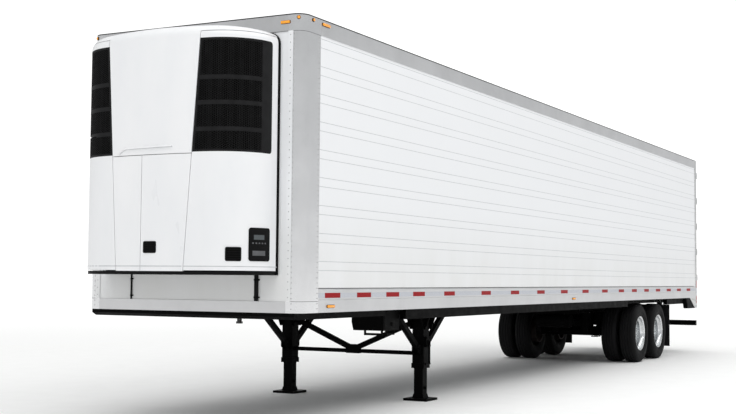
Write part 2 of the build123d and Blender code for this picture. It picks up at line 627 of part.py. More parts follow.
def tyre_section(centre):
    """(y, radius) points of one tyre about its middle."""
    half_rows = (          # half width, radius
        (RIM_INSIDE_HALF - 5, BEAD_RADIUS),
        (RIM_INSIDE_HALF, RIM_EDGE_RADIUS + 2),
        (TYRE_WIDTH / 2 - 6, 360),
        (TYRE_WIDTH / 2, 405),
        (TYRE_WIDTH / 2 - 8, 455),
        (TYRE_WIDTH / 2 - 22, 498),
        (TYRE_WIDTH / 2 - 40, TYRE_RADIUS - 5),
        (0, TYRE_RADIUS),
    )
    right = [(centre + half, radius) for half, radius in half_rows]
    left = [(centre - half, radius) for half, radius in reversed(half_rows[:-1])]
    return right + left


def rim(centre, way):
    """One rim: a barrel with flanges, and the disc that bolts to the hub."""
    barrel_out = [          # along the outside, from the disc's end
        (centre - way * RIM_HALF, RIM_EDGE_RADIUS),
        (centre - way * RIM_INSIDE_HALF, RIM_EDGE_RADIUS),
        (centre - way * RIM_INSIDE_HALF, BEAD_RADIUS),
        (centre - way * 60, BEAD_RADIUS - 3),
        (centre - way * 30, WELL_RADIUS),
        (centre + way * 40, WELL_RADIUS + 6),
        (centre + way * 70, BEAD_RADIUS - 3),
        (centre + way * RIM_INSIDE_HALF, BEAD_RADIUS),
        (centre + way * RIM_INSIDE_HALF, RIM_EDGE_RADIUS),
        (centre + way * RIM_HALF, RIM_EDGE_RADIUS),
    ]
    barrel_in = [
        (centre + way * RIM_HALF, BEAD_RADIUS + 4),
        (centre + way * (RIM_HALF - RIM_WALL), BEAD_RADIUS - RIM_WALL),
        (centre + way * 72, BEAD_RADIUS - RIM_WALL - 5),
        (centre + way * 40, WELL_RADIUS - RIM_WALL),
        (centre - way * 60, WELL_RADIUS - RIM_WALL - 6),
        (DUAL_CENTRE_Y + way * (DISC_THICK + 12), DISC_RADIUS - 25),
        (DUAL_CENTRE_Y + way * DISC_THICK, DISC_RADIUS - 60),
        (DUAL_CENTRE_Y + way * DISC_THICK, CAP_RADIUS + 8),
        (DUAL_CENTRE_Y, CAP_RADIUS + 8),
        (DUAL_CENTRE_Y, DISC_RADIUS - 30),
        (DUAL_CENTRE_Y + way * 14, DISC_RADIUS - 6),
    ]
    return barrel_out + barrel_in


hub_section = [
    (DRUM_Y[1] - 20, HUB_BORE),
    (SPINDLE_END_Y + 8, HUB_BORE),
    (SPINDLE_END_Y + 8, 0),
    (SPINDLE_END_Y + 30, 0),
    (SPINDLE_END_Y + 30, CAP_RADIUS - 15),
    (SPINDLE_END_Y + 10, CAP_RADIUS),
    (DUAL_CENTRE_Y + DISC_THICK, CAP_RADIUS + 8),
    (DUAL_CENTRE_Y - DISC_THICK, CAP_RADIUS + 8),
    (DUAL_CENTRE_Y - DISC_THICK, HUB_FLANGE_RADIUS),
    (DUAL_CENTRE_Y - 2 * DISC_THICK, HUB_FLANGE_RADIUS),
    (DUAL_CENTRE_Y - 2 * DISC_THICK, 130),
    (DRUM_Y[1], 130),
    (DRUM_Y[1], DRUM_RADIUS),
    (DRUM_Y[0], DRUM_RADIUS),
    (DRUM_Y[0], DRUM_RADIUS - DRUM_WALL),
    (DRUM_Y[1] - DRUM_WALL, DRUM_RADIUS - DRUM_WALL),
    (DRUM_Y[1] - DRUM_WALL, 90),
]
for name, x in zip(("front", "rear"), AXLE_X):
    tyres = [turned(tyre_section(y), x, AXLE_Z) for y in (INNER_TYRE_Y, OUTER_Y)]
    rims = [turned(rim(INNER_TYRE_Y, -1), x, AXLE_Z), turned(rim(OUTER_Y, 1), x, AXLE_Z)]
    hub = turned(hub_section, x, AXLE_Z)
    save(f"tyres_{name}_left", tyres)
    save(f"tyres_{name}_right", [other_side(piece) for piece in tyres])
    wheel = joined(rims + [hub])[0]
    save(f"wheels_{name}_left", [wheel])
    save(f"wheels_{name}_right", [other_side(wheel)])

# ---- Mud flaps behind the rear wheels ----
FLAP_BEHIND = 740          # behind the rear axle
FLAP_WIDTH = 610
FLAP_THICK = 10
FLAP_Z = (200, 1000)
FLAP_BRACKET = 40
flap_x = AXLE_X[1] - FLAP_BEHIND
flap = joined([
    block((flap_x - FLAP_THICK, flap_x), (DUAL_CENTRE_Y - FLAP_WIDTH / 2, DUAL_CENTRE_Y + FLAP_WIDTH / 2), FLAP_Z),
    block((flap_x, flap_x + FLAP_BRACKET), (rail_y[1], DUAL_CENTRE_Y + FLAP_WIDTH / 2),
          (FLAP_Z[1] - FLAP_BRACKET, FLAP_Z[1])),
])
save("mud_flaps", both_sides(flap[0]))

# ---- Underride guard ----
GUARD_Z = (535, 640)
GUARD_THICK = 100
GUARD_INSET = 10           # its ends from the body's sides
GUARD_HALF = HALF_WIDTH - GUARD_INSET
UPRIGHT_Y = 520
UPRIGHT_SIDE = 90
guard_x = (FRAME_REAR_X, FRAME_REAR_X + GUARD_THICK)
guard = [block(guard_x, (-GUARD_HALF, GUARD_HALF), GUARD_Z)]
for side in (-1, 1):
    guard.append(block(
        guard_x,
        (side * (UPRIGHT_Y - UPRIGHT_SIDE / 2), side * (UPRIGHT_Y + UPRIGHT_SIDE / 2)),
        (GUARD_Z[1], REAR_SILL_BOTTOM_Z),
    ))
# Brackets behind the rear gussets, under the sill's ends and the bottom rails.
BRACKET_WIDTH = 90
bracket = section_along_y([
    (FRAME_FRONT_X, REAR_TOE_Z),
    (FRAME_REAR_X + BRACKET_REACH[0], REAR_TOE_Z),
    (FRAME_REAR_X + BRACKET_REACH[1], RAIL_BOTTOM_Z),
    (FRAME_FRONT_X, RAIL_BOTTOM_Z),
], HALF_WIDTH - GUSSET_THICK - BRACKET_WIDTH, HALF_WIDTH - GUSSET_THICK)
save("underride_guard", joined(guard) + both_sides(bracket))

# ---- Rear doors: foam-cored, with a plate that fills the doorway and a plug inside it ----
DOOR_PLATE = 25
DOOR_PLUG = 50
PLUG_INSET = 25
MIDDLE_GAP = 12
door_y = (MIDDLE_GAP / 2, DOORWAY_HALF - DOOR_GAP)
door_z = (FLOOR_TOP_Z + DOOR_GAP, HEADER_Z - DOOR_GAP)
plate = block((REAR_X, REAR_X + DOOR_PLATE), door_y, door_z)
plug = block(
    (REAR_X + DOOR_PLATE, REAR_X + DOOR_PLATE + DOOR_PLUG),
    (door_y[0] + PLUG_INSET, door_y[1] - PLUG_INSET),
    (door_z[0] + PLUG_INSET, door_z[1] - PLUG_INSET),
)
door = joined([plate, plug])[0]
save("door_left", [door])
save("door_right", [other_side(door)])

# Hinge straps on the doors turn on pins held by ears on the rear posts.
HINGE_COUNT = 5
HINGE_HEIGHT = 60
EAR_HEIGHT = 30
EAR_GAP = 5
STRAP_THICK = 8
STRAP_LENGTH = 240
HINGE_END = 160            # from the door's top and bottom to its nearest hinge
hinge_x = REAR_X - HINGE_BACK
span = door_z[1] - door_z[0] - 2 * HINGE_END
hinge_heights = [door_z[0] + HINGE_END + number * span / (HINGE_COUNT - 1) for number in range(HINGE_COUNT)]
ROD_RADIUS = 13.5
ROD_OUT = 22               # rod's axis behind the door's face
ROD_Y = (190, 980)
GUIDE_HEIGHT = 50
GUIDE_HALF = 30
CAM_HEIGHT = 50
CAM_HALF = 20
HANDLE_Z = (1800, 1840)
HANDLE_LENGTH = 430
hardware = []
butts = []
for z in hinge_heights:
    low = z - HINGE_HEIGHT / 2
    high = z + HINGE_HEIGHT / 2
    strap = block((REAR_X - STRAP_THICK, REAR_X), (door_y[1] - STRAP_LENGTH, HINGE_Y + STRAP_THICK), (low, high))
    arm = block((hinge_x, REAR_X - STRAP_THICK), (HINGE_Y - STRAP_THICK, HINGE_Y + STRAP_THICK), (low, high))
    knuckle = Pos(hinge_x, HINGE_Y, low) * extrude(Circle(HINGE_EAR_RADIUS), amount=HINGE_HEIGHT)
    bore = Pos(hinge_x, HINGE_Y, low) * extrude(Circle(HINGE_PIN_RADIUS + RUNNING_GAP), amount=HINGE_HEIGHT)
    hardware += joined([strap, arm, knuckle - bore])
    hardware[-1] = hardware[-1] - bore
    pieces = [Pos(hinge_x, HINGE_Y, low - EAR_GAP - EAR_HEIGHT)
              * extrude(Circle(HINGE_PIN_RADIUS), amount=HINGE_HEIGHT + 2 * (EAR_GAP + EAR_HEIGHT))]
    for ear_z in (low - EAR_GAP - EAR_HEIGHT, high + EAR_GAP):
        pieces.append(Pos(hinge_x, HINGE_Y, ear_z) * extrude(Circle(HINGE_EAR_RADIUS), amount=EAR_HEIGHT))
        pieces.append(block(
            (hinge_x, FRAME_REAR_X),
            (HINGE_Y - HINGE_EAR_RADIUS, HINGE_Y + HINGE_EAR_RADIUS),
            (ear_z, ear_z + EAR_HEIGHT),
        ))
    butts += joined(pieces)

keepers = []
KEEPER_HALF = 12
KEEPER_CLEAR = 12          # each side of a cam
KEEPER_DEPTH = 40
for y in ROD_Y:
    pieces = [Pos(REAR_X - ROD_OUT, y, door_z[0] - CAM_HEIGHT)
              * extrude(Circle(ROD_RADIUS), amount=door_z[1] - door_z[0] + 2 * CAM_HEIGHT)]
    guide_span = door_z[1] - door_z[0] - 2 * GUIDE_HEIGHT - GUIDE_HEIGHT
    for number in range(4):
        z = door_z[0] + GUIDE_HEIGHT + number * guide_span / 3
        pieces.append(block((REAR_X - ROD_OUT - ROD_RADIUS, REAR_X), (y - GUIDE_HALF, y + GUIDE_HALF),
                            (z, z + GUIDE_HEIGHT)))
    for z in (door_z[0] - CAM_HEIGHT, door_z[1]):
        pieces.append(block((REAR_X - ROD_OUT - ROD_RADIUS, REAR_X - ROD_OUT + ROD_RADIUS),
                            (y - CAM_HALF, y + CAM_HALF), (z, z + CAM_HEIGHT)))
        for side in (-1, 1):
            edges = sorted((y + side * (CAM_HALF + KEEPER_CLEAR),
                            y + side * (CAM_HALF + KEEPER_CLEAR + 2 * KEEPER_HALF)))
            keepers.append(block((FRAME_REAR_X - KEEPER_DEPTH, FRAME_REAR_X), edges, (z, z + CAM_HEIGHT)))
    handle_end = y + HANDLE_LENGTH if y < DOORWAY_HALF / 2 else y - HANDLE_LENGTH
    pieces.append(block((REAR_X - ROD_OUT - STRAP_THICK, REAR_X - ROD_OUT), sorted((y, handle_end)), HANDLE_Z))
    hardware += joined(pieces)
save("door_hardware_left", hardware)
save("door_hardware_right", [other_side(piece) for piece in hardware])
fittings = butts + keepers
save("door_fittings", fittings + [other_side(piece) for piece in fittings])

# ---- Refrigeration unit: bulkhead, base, cap, fixed middle panels and two hinged doors ----
UNIT_WALL = 25
UNIT_BOW = 4000            # plan radius of the unit's face
UNIT_CORNER = 500          # plan radius of its front corners
UNIT_EDGE = 110            # rounding along its top
UNIT_CROWN = 45            # rise of its top, from just past its sides to the middle
CROWN_PAST = 100
BULKHEAD_FRONT = 15        # bulkhead's face ahead of the nose
BULKHEAD_EDGE = 6          # it shows as a dark line round the shell
UNIT_DOOR_START = 32       # rear edge of each door ahead of the nose
UNIT_BASE_HEIGHT = 32
UNIT_BASE_GAP = 8
UNIT_SPLIT_SHARE = 0.479   # of the unit's height, where the lower panels meet the grilles
UNIT_CAP_HEIGHT = 75
UNIT_SPLIT_Z = UNIT_BOTTOM_Z + UNIT_SPLIT_SHARE * (UNIT_TOP_Z - UNIT_BOTTOM_Z)
UNIT_CAP_Z = UNIT_TOP_Z - UNIT_CAP_HEIGHT
SEAM_Y_TOP = 545           # the doors' free edges lean inward as they go down
SEAM_Y_BOTTOM = 395
LOWER_SEAM_Y = -90
UNIT_HALF = UNIT_WIDTH / 2
UNIT_REAR = NOSE_X + BULKHEAD_FRONT
UNIT_FACE = NOSE_X + UNIT_DEPTH
PAST = 10                  # cutting shapes reach this far past what they cut

# Centres of the bowed face and of the road-side corner that runs into it.
BOW_X = UNIT_FACE - UNIT_BOW
CORNER_Y = UNIT_HALF - UNIT_CORNER
CORNER_X = BOW_X + math.sqrt((UNIT_BOW - UNIT_CORNER) ** 2 - CORNER_Y ** 2)
CORNER_TURN = math.degrees(math.atan2(CORNER_Y, CORNER_X - BOW_X))


def unit_plan(inset, rear):
    """The unit seen from above, drawn in by inset."""
    half = UNIT_HALF - inset
    bow = UNIT_BOW - inset
    corner = UNIT_CORNER - inset
    touch_x = BOW_X + bow * math.cos(math.radians(CORNER_TURN))
    touch_y = bow * math.sin(math.radians(CORNER_TURN))
    return make_face(Curve() + [
        Line((rear, half), (CORNER_X, half)),
        CenterArc((CORNER_X, CORNER_Y), corner, CORNER_TURN, 90 - CORNER_TURN),
        ThreePointArc((touch_x, touch_y), (UNIT_FACE - inset, 0), (touch_x, -touch_y)),
        CenterArc((CORNER_X, -CORNER_Y), corner, 270, 90 - CORNER_TURN),
        Line((CORNER_X, -half), (rear, -half)),
        Line((rear, -half), (rear, half)),
    ])


def crowned(inset, x_low, x_high):
    """A bar wider than the unit, under its slightly crowned top."""
    wide = UNIT_HALF + CROWN_PAST
    top = UNIT_TOP_Z - inset
    low = top - UNIT_CROWN
    face = make_face(Curve() + [
        Polyline((-wide, low), (-wide, UNIT_BOTTOM_Z), (wide, UNIT_BOTTOM_Z), (wide, low)),
        ThreePointArc((wide, low), (0, top), (-wide, low)),
    ])
    return extrude(Plane.YZ.offset(x_low) * face, amount=x_high - x_low)


def unit_form(inset, rear, bottom):
    """The unit as a solid, drawn in by inset, round along the front and sides of its top."""
    plan = Pos(0, 0, bottom) * extrude(unit_plan(inset, rear), amount=UNIT_TOP_Z - bottom)
    form = plan & crowned(inset, rear, UNIT_FACE + PAST)
    top_edges = []
    for edge in form.edges():
        bounds = edge.bounding_box()
        if bounds.min.Z > UNIT_TOP_Z - inset - 2 * UNIT_CROWN and bounds.size.X > 1:
            top_edges.append(edge)
    return fillet(top_edges, UNIT_EDGE - inset)


bulkhead_half = UNIT_HALF + BULKHEAD_EDGE
bulkhead_x = (NOSE_X - SKIN_INSET, UNIT_REAR)
bulkhead_z = (UNIT_BOTTOM_Z, UNIT_TOP_Z + PAST)
bulkhead = block(bulkhead_x, (-bulkhead_half, bulkhead_half), bulkhead_z) & crowned(-BULKHEAD_EDGE, *bulkhead_x)
bulkhead_corners = bulkhead.edges().filter_by(Axis.X).group_by(Axis.Z)[-1]
save("unit_bulkhead", [fillet(bulkhead_corners, UNIT_EDGE + BULKHEAD_EDGE) - front_top_rail])

BASE_TOP_Z = UNIT_BOTTOM_Z + UNIT_BASE_HEIGHT
PIVOT_RADIUS = 5
PIVOT_X = NOSE_X + 100
PIVOT_Y = UNIT_HALF - 40
PIVOT_DEPTH = 30
BOSS_HALF = 15             # each pin turns in a boss inside the door
BOSS_HEIGHT = 40
PANEL_BOTTOM_Z = BASE_TOP_Z + UNIT_BASE_GAP
PANEL_TOP_Z = UNIT_CAP_Z - PANEL_GAP


def pivot(radius, z_low, z_high):
    return Pos(PIVOT_X, PIVOT_Y, z_low) * extrude(Circle(radius), amount=z_high - z_low)


base_slab = Pos(0, 0, UNIT_BOTTOM_Z) * extrude(unit_plan(PANEL_GAP, UNIT_REAR), amount=UNIT_BASE_HEIGHT)
low_pins = both_sides(pivot(PIVOT_RADIUS, BASE_TOP_Z, PANEL_BOTTOM_Z + PIVOT_DEPTH))
save("unit_base", joined([base_slab] + low_pins))

shell = unit_form(0, UNIT_REAR, BASE_TOP_Z) - unit_form(UNIT_WALL, UNIT_REAR - 1, BASE_TOP_Z)


def between(y_low, y_high, z_low, z_high, x_low=UNIT_REAR - PAST):
    return block((x_low, UNIT_FACE + PAST), (y_low, y_high), (z_low, z_high))


cap_space = between(-UNIT_HALF, UNIT_HALF, UNIT_CAP_Z, UNIT_TOP_Z + PAST)
high_pins = both_sides(pivot(PIVOT_RADIUS, PANEL_TOP_Z - PIVOT_DEPTH, UNIT_CAP_Z + PIVOT_RADIUS))
save("unit_cap", joined([shell & cap_space] + high_pins))


def seam_side(gap):
    """Everything outboard of the leaning seam on the road side, moved out by gap."""
    lean = (SEAM_Y_TOP - SEAM_Y_BOTTOM) / (UNIT_CAP_Z - BASE_TOP_Z)
    low = SEAM_Y_BOTTOM + gap - lean * (BASE_TOP_Z - UNIT_BOTTOM_Z)
    high = SEAM_Y_TOP + gap + lean * (UNIT_TOP_Z - UNIT_CAP_Z)
    reach = UNIT_HALF + PAST
    return section_along_x(
        [(low, UNIT_BOTTOM_Z), (reach, UNIT_BOTTOM_Z), (reach, UNIT_TOP_Z), (high, UNIT_TOP_Z)],
        UNIT_REAR - PAST, UNIT_FACE + PAST,
    )


middle = shell - seam_side(0) - other_side(seam_side(0))
save("unit_middle_panels", [
    middle & between(-UNIT_HALF, UNIT_HALF, UNIT_SPLIT_Z + PANEL_GAP, UNIT_CAP_Z),
    middle & between(LOWER_SEAM_Y + PANEL_GAP / 2, UNIT_HALF, BASE_TOP_Z, UNIT_SPLIT_Z),
    middle & between(-UNIT_HALF, LOWER_SEAM_Y - PANEL_GAP / 2, BASE_TOP_Z, UNIT_SPLIT_Z),
])

# Each door carries a grille in a window that runs out to the door's free edge.
GRILLE_REAR = NOSE_X + 130
GRILLE_ABOVE_SPLIT = 15
GRILLE_BELOW_TOP = 145
GRILLE_Z = (UNIT_SPLIT_Z + GRILLE_ABOVE_SPLIT, UNIT_TOP_Z - GRILLE_BELOW_TOP)
GRILLE_CORNER = 35         # radius of the window's two rear corners
GRILLE_INSET = 6
GRILLE_THICK = 12
GRILLE_FRAME = 22          # border round the mesh, flush with the door
GRILLE_STRIP_END = NOSE_X + 270    # a plain strip closes the mesh toward the rear
GRILLE_BARS = (0.348, 0.570, 0.802)  # middles of the bars across the mesh, from its top down
GRILLE_BAR_HEIGHT = 42


def opening(inset):
    """What is cut from the road-side door for its grille, drawn in by inset."""
    whole = between(
        0, UNIT_HALF + PAST, GRILLE_Z[0] + inset, GRILLE_Z[1] - inset, x_low=GRILLE_REAR + inset
    )
    rear_edges = whole.edges().filter_by(Axis.Y).group_by(Axis.X)[0]
    return fillet(rear_edges, GRILLE_CORNER - inset)


def layer(start, thick):
    """A skin of the unit that lies start below its surface."""
    return unit_form(start, UNIT_REAR, BASE_TOP_Z) - unit_form(start + thick, UNIT_REAR - 1, BASE_TOP_Z)


door_space = between(0, UNIT_HALF + PAST, PANEL_BOTTOM_Z, PANEL_TOP_Z, x_low=NOSE_X + UNIT_DOOR_START)
unit_door = (shell & seam_side(PANEL_GAP) & door_space) - opening(0)
for boss_z in (PANEL_BOTTOM_Z, PANEL_TOP_Z - BOSS_HEIGHT):
    unit_door = unit_door + block(
        (PIVOT_X - BOSS_HALF, PIVOT_X + BOSS_HALF),
        (PIVOT_Y - BOSS_HALF, UNIT_HALF - UNIT_WALL + GRILLE_INSET / 2),
        (boss_z, boss_z + BOSS_HEIGHT),
    )
bore = PIVOT_RADIUS + RUNNING_GAP
unit_door = unit_door - pivot(bore, PANEL_BOTTOM_Z - PAST, PANEL_BOTTOM_Z + PIVOT_DEPTH + RUNNING_GAP)
unit_door = unit_door - pivot(bore, PANEL_TOP_Z - PIVOT_DEPTH - RUNNING_GAP, PANEL_TOP_Z + PAST)

window = seam_side(PANEL_GAP) & opening(0)
solid_parts = window - (seam_side(PANEL_GAP + GRILLE_FRAME) & opening(GRILLE_FRAME))
solid_parts = solid_parts + (window & block((GRILLE_REAR, GRILLE_STRIP_END), (0, UNIT_HALF + PAST), GRILLE_Z))
for share in GRILLE_BARS:
    bar_z = GRILLE_Z[1] - share * (GRILLE_Z[1] - GRILLE_Z[0])
    bar_space = between(0, UNIT_HALF + PAST, bar_z - GRILLE_BAR_HEIGHT / 2, bar_z + GRILLE_BAR_HEIGHT / 2)
    solid_parts = solid_parts + (window & bar_space)
grille = (layer(GRILLE_INSET, GRILLE_THICK) & window) + (layer(1, GRILLE_INSET + 1) & solid_parts)
save("unit_door_left", [unit_door])
save("unit_door_right", [other_side(unit_door)])
save("unit_grille_left", [grille])
save("unit_grille_right", [other_side(grille)])

ENGINE_AHEAD = (60, 520)       # rear and front of the engine block ahead of the nose
ENGINE_HALF_WIDTH = 330
ENGINE_HEIGHT = 560
save("unit_engine", [block(
    (NOSE_X + ENGINE_AHEAD[0], NOSE_X + ENGINE_AHEAD[1]),
    (-ENGINE_HALF_WIDTH, ENGINE_HALF_WIDTH),
    (BASE_TOP_Z, BASE_TOP_Z + ENGINE_HEIGHT),
)])

# Control panel, bent round the road-side door's corner.
PANEL_TURN = (57, 87)          # its edges, in degrees round the corner from straight ahead
PANEL_ABOVE = (129, 445)       # its lower and upper edges above the unit's bottom
PANEL_PROUD = 6
panel_ring = Circle(UNIT_CORNER + PANEL_PROUD) - Circle(UNIT_CORNER)
reach = 2 * UNIT_CORNER
panel_wedge = outline([(0, 0)] + [
    (reach * math.cos(math.radians(turn)), reach * math.sin(math.radians(turn))) for turn in PANEL_TURN
])
save("unit_control_panel", [
    Pos(CORNER_X, CORNER_Y, UNIT_BOTTOM_Z + PANEL_ABOVE[0])
    * extrude(panel_ring & panel_wedge, amount=PANEL_ABOVE[1] - PANEL_ABOVE[0])
])

# ---- Drain and cable conduits below the unit ----
CONDUITS = (                # y, radius
    (-715, 9),
    (790, 9),
    (815, 14),
)
conduits = []
for y, radius in CONDUITS:
    conduits.append(rod(
        (NOSE_X - SKIN_INSET + radius, y, RAIL_BOTTOM_Z + FRONT_RAIL_HEIGHT),
        (NOSE_X - SKIN_INSET + radius, y, UNIT_BOTTOM_Z),
        radius,
    ))
save("front_conduits", conduits)

# ---- Marker lamps ----
LAMP_LENGTH = 150
LAMP_HEIGHT = 34
LAMP_OUT = 16
FRONT_LAMP_INSET = 200         # the outer front lamps from the body's side
FRONT_LAMP_LENGTH = 110
FRONT_LAMP_BELOW = 80          # below the top
SIDE_LAMP_BELOW = 50
LOW_LAMP_ABOVE = 60            # above the bottom rail's lower edge
BUTTON_LAMP_RADIUS = 19        # small round lamps by the top corners
BUTTON_LAMP_TURN = 30          # degrees round the corner from straight ahead
BUTTON_LAMP_BEHIND = 190       # the side one behind the nose
BUTTON_LAMP_BELOW = 40
amber = []
FRONT_LAMP_Y = HALF_WIDTH - FRONT_LAMP_INSET
front_lamp_z = (TOP_Z - FRONT_LAMP_BELOW - LAMP_HEIGHT / 2, TOP_Z - FRONT_LAMP_BELOW + LAMP_HEIGHT / 2)
for y in (-FRONT_LAMP_Y, 0, FRONT_LAMP_Y):
    amber.append(block(
        (NOSE_X, NOSE_X + LAMP_OUT), (y - FRONT_LAMP_LENGTH / 2, y + FRONT_LAMP_LENGTH / 2), front_lamp_z
    ))
SIDE_LAMPS = (              # distance behind the nose, height
    (435, TOP_Z - SIDE_LAMP_BELOW),
    (580, RAIL_BOTTOM_Z + LOW_LAMP_ABOVE),
    (BODY_LENGTH / 2, RAIL_BOTTOM_Z + LOW_LAMP_ABOVE),
)
for distance, z in SIDE_LAMPS:
    amber += both_sides(block(
        (NOSE_X - distance - LAMP_LENGTH / 2, NOSE_X - distance + LAMP_LENGTH / 2),
        (HALF_WIDTH, HALF_WIDTH + LAMP_OUT),
        (z - LAMP_HEIGHT / 2, z + LAMP_HEIGHT / 2),
    ))
button_z = TOP_Z - BUTTON_LAMP_BELOW
turn_x = math.cos(math.radians(BUTTON_LAMP_TURN))
turn_y = math.sin(math.radians(BUTTON_LAMP_TURN))
button_ends = [
    (
        NOSE_X - POST_RADIUS + (POST_RADIUS + out) * turn_x,
        HALF_WIDTH - POST_RADIUS + (POST_RADIUS + out) * turn_y,
        button_z,
    )
    for out in (-LAMP_OUT, LAMP_OUT)
]
amber += both_sides(rod(*button_ends, BUTTON_LAMP_RADIUS) - corner_cap)
amber += both_sides(rod(
    (NOSE_X - BUTTON_LAMP_BEHIND, HALF_WIDTH, button_z),
    (NOSE_X - BUTTON_LAMP_BEHIND, HALF_WIDTH + LAMP_OUT, button_z),
    BUTTON_LAMP_RADIUS,
))
save("amber_lamps", amber)

RED_LAMP_RADIUS = 50
TAIL_LAMP_ROW = (240, 380, 520)    # from the body's side
HEADER_LAMP_ROW = (-200, 0, 200)   # from the middle
HEADER_LAMP_BELOW = 100            # below the top
red = []
TAIL_Z = (REAR_SILL_BOTTOM_Z + RAIL_BOTTOM_Z) / 2
for y in [HALF_WIDTH - inset for inset in TAIL_LAMP_ROW]:
    for side in (-1, 1):
        red.append(rod((FRAME_REAR_X, side * y, TAIL_Z), (FRAME_REAR_X - LAMP_OUT, side * y, TAIL_Z), RED_LAMP_RADIUS))
for y in HEADER_LAMP_ROW:
    red.append(block((FRAME_REAR_X - LAMP_OUT, FRAME_REAR_X), (y - LAMP_LENGTH / 2, y + LAMP_LENGTH / 2),
                     (TOP_Z - HEADER_LAMP_BELOW, TOP_Z - HEADER_LAMP_BELOW + LAMP_HEIGHT)))
save("red_lamps", red)
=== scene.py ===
import math

import bmesh
import bpy
from mathutils import Matrix, Vector


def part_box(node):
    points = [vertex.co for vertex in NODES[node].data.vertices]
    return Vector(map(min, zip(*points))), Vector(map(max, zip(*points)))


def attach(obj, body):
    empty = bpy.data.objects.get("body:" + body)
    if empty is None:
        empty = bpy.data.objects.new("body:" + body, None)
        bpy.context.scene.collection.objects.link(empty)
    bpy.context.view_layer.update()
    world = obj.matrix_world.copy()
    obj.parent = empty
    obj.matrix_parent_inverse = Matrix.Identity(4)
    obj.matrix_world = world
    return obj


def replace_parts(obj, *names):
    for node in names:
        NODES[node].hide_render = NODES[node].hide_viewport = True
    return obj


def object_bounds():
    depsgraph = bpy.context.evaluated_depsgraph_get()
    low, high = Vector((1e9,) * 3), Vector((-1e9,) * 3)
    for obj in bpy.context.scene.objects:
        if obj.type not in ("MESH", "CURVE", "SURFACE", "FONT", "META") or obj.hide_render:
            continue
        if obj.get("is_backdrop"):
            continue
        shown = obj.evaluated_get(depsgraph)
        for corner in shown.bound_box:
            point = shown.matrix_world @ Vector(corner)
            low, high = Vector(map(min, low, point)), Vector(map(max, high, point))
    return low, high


# A refrigerated van semi-trailer standing on its landing gear and tandem. Metres, with +X towards
# the nose, +Y to the road side and +Z up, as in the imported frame.
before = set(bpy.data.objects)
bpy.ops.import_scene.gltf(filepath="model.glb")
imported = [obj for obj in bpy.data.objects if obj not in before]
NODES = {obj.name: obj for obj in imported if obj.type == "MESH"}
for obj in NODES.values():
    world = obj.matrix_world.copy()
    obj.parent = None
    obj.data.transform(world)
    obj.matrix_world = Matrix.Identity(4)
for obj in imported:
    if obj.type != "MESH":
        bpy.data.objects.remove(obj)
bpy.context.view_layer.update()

# ---------------------------------------------------------------- Studio
# A pale seamless sweep under soft boxes, seen from ahead of the road-side front corner.
# The sweep is matt painted plaster, so it takes soft shadows and no reflections.
SWEEP_HEX = "F7F7F6"
SWEEP_RADIUS = 120.0
CAMERA_AHEAD = 10.004          # of the box's nose
CAMERA_SIDE = 7.327
CAMERA_HEIGHT = 1.448
CAMERA_YAW = 207.958           # degrees
CAMERA_PITCH = 3.352
CAMERA_ROLL = 0.478
SENSOR = 36.0                  # millimetres
FRAME_WIDTH = 736              # pixels
FOCAL_PIXELS = 1228.9
SKY_STRENGTH = 1.18
TENT = ((0.0, "D4D5D6"), (0.35, "A6A8A9"), (1.0, "FFFFFF"))     # its shade by height
BACKDROP = (0.84, 0.93)        # cosines from the view: where it begins, and where it is full
KEY_PLACE = (-1.0, 12.0, 17.0)  # key soft box, high over the road side
KEY_TARGET = (0.0, 0.0, 1.5)
KEY_SIZE = (30.0, 10.0)
KEY_WATTS = 1230
FILL_PLACE = (15.0, 3.0, 12.0)  # fill soft box, high ahead of the nose
FILL_SIZE = (9.0, 7.0)
FILL_WATTS = 330
FILL_TARGET_Z = 2.0
GLOW_START = 6.0               # the sweep glows from this distance
GLOW_END = 30.0                # and is at its brightest here
GLOW_STRENGTH = 0.26
NOSE_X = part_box("front_corner_posts")[1].x


def linear(code):
    """An sRGB hex code as linear red, green, blue and alpha."""
    shades = [int(code[at:at + 2], 16) / 255 for at in (0, 2, 4)]
    return tuple(s / 12.92 if s <= 0.04045 else ((s + 0.055) / 1.055) ** 2.4 for s in shades) + (1.0,)


def new_material(name):
    """An empty node material with its output, as (material, tree, output)."""
    material = bpy.data.materials.new(name)
    material.use_nodes = True
    tree = material.node_tree
    tree.nodes.clear()
    return material, tree, tree.nodes.new("ShaderNodeOutputMaterial")


def add(tree, kind, settings=None, links=None):
    """Adds one node: settings fill its sockets or properties, links join its sockets to outputs."""
    made = tree.nodes.new("ShaderNode" + kind)
    for key, value in (settings or {}).items():
        if isinstance(key, int) or key in made.inputs:
            made.inputs[key].default_value = value
        else:
            setattr(made, key, value)
    for key, source in (links or {}).items():
        tree.links.new(source, made.inputs[key])
    return made


def finish_shader(tree, output, settings, links):
    """The material's one principled shader, joined to its output."""
    shader = add(tree, "BsdfPrincipled", settings, links)
    tree.links.new(shader.outputs["BSDF"], output.inputs["Surface"])
    return shader


def noise(tree, scale, detail=3.0, rough=0.5):
    """Noise over the object's own metres, with its cells per metre along x, y and z."""
    place = add(tree, "TexCoord")
    turned = add(tree, "Mapping", {"Scale": scale}, {"Vector": place.outputs["Object"]})
    made = add(tree, "TexNoise", {"Scale": 1.0, "Detail": detail, "Roughness": rough},
               {"Vector": turned.outputs["Vector"]})
    return made.outputs["Fac"]


def ramp(tree, source, stops):
    """A colour ramp over source, from (place, hex code) stops."""
    made = add(tree, "ValToRGB", None, {"Fac": source})
    scale = made.color_ramp
    while len(scale.elements) < len(stops):
        scale.elements.new(1.0)
    for element, (place, code) in zip(scale.elements, stops):
        element.position = place
        element.color = linear(code)
    return made.outputs["Color"]


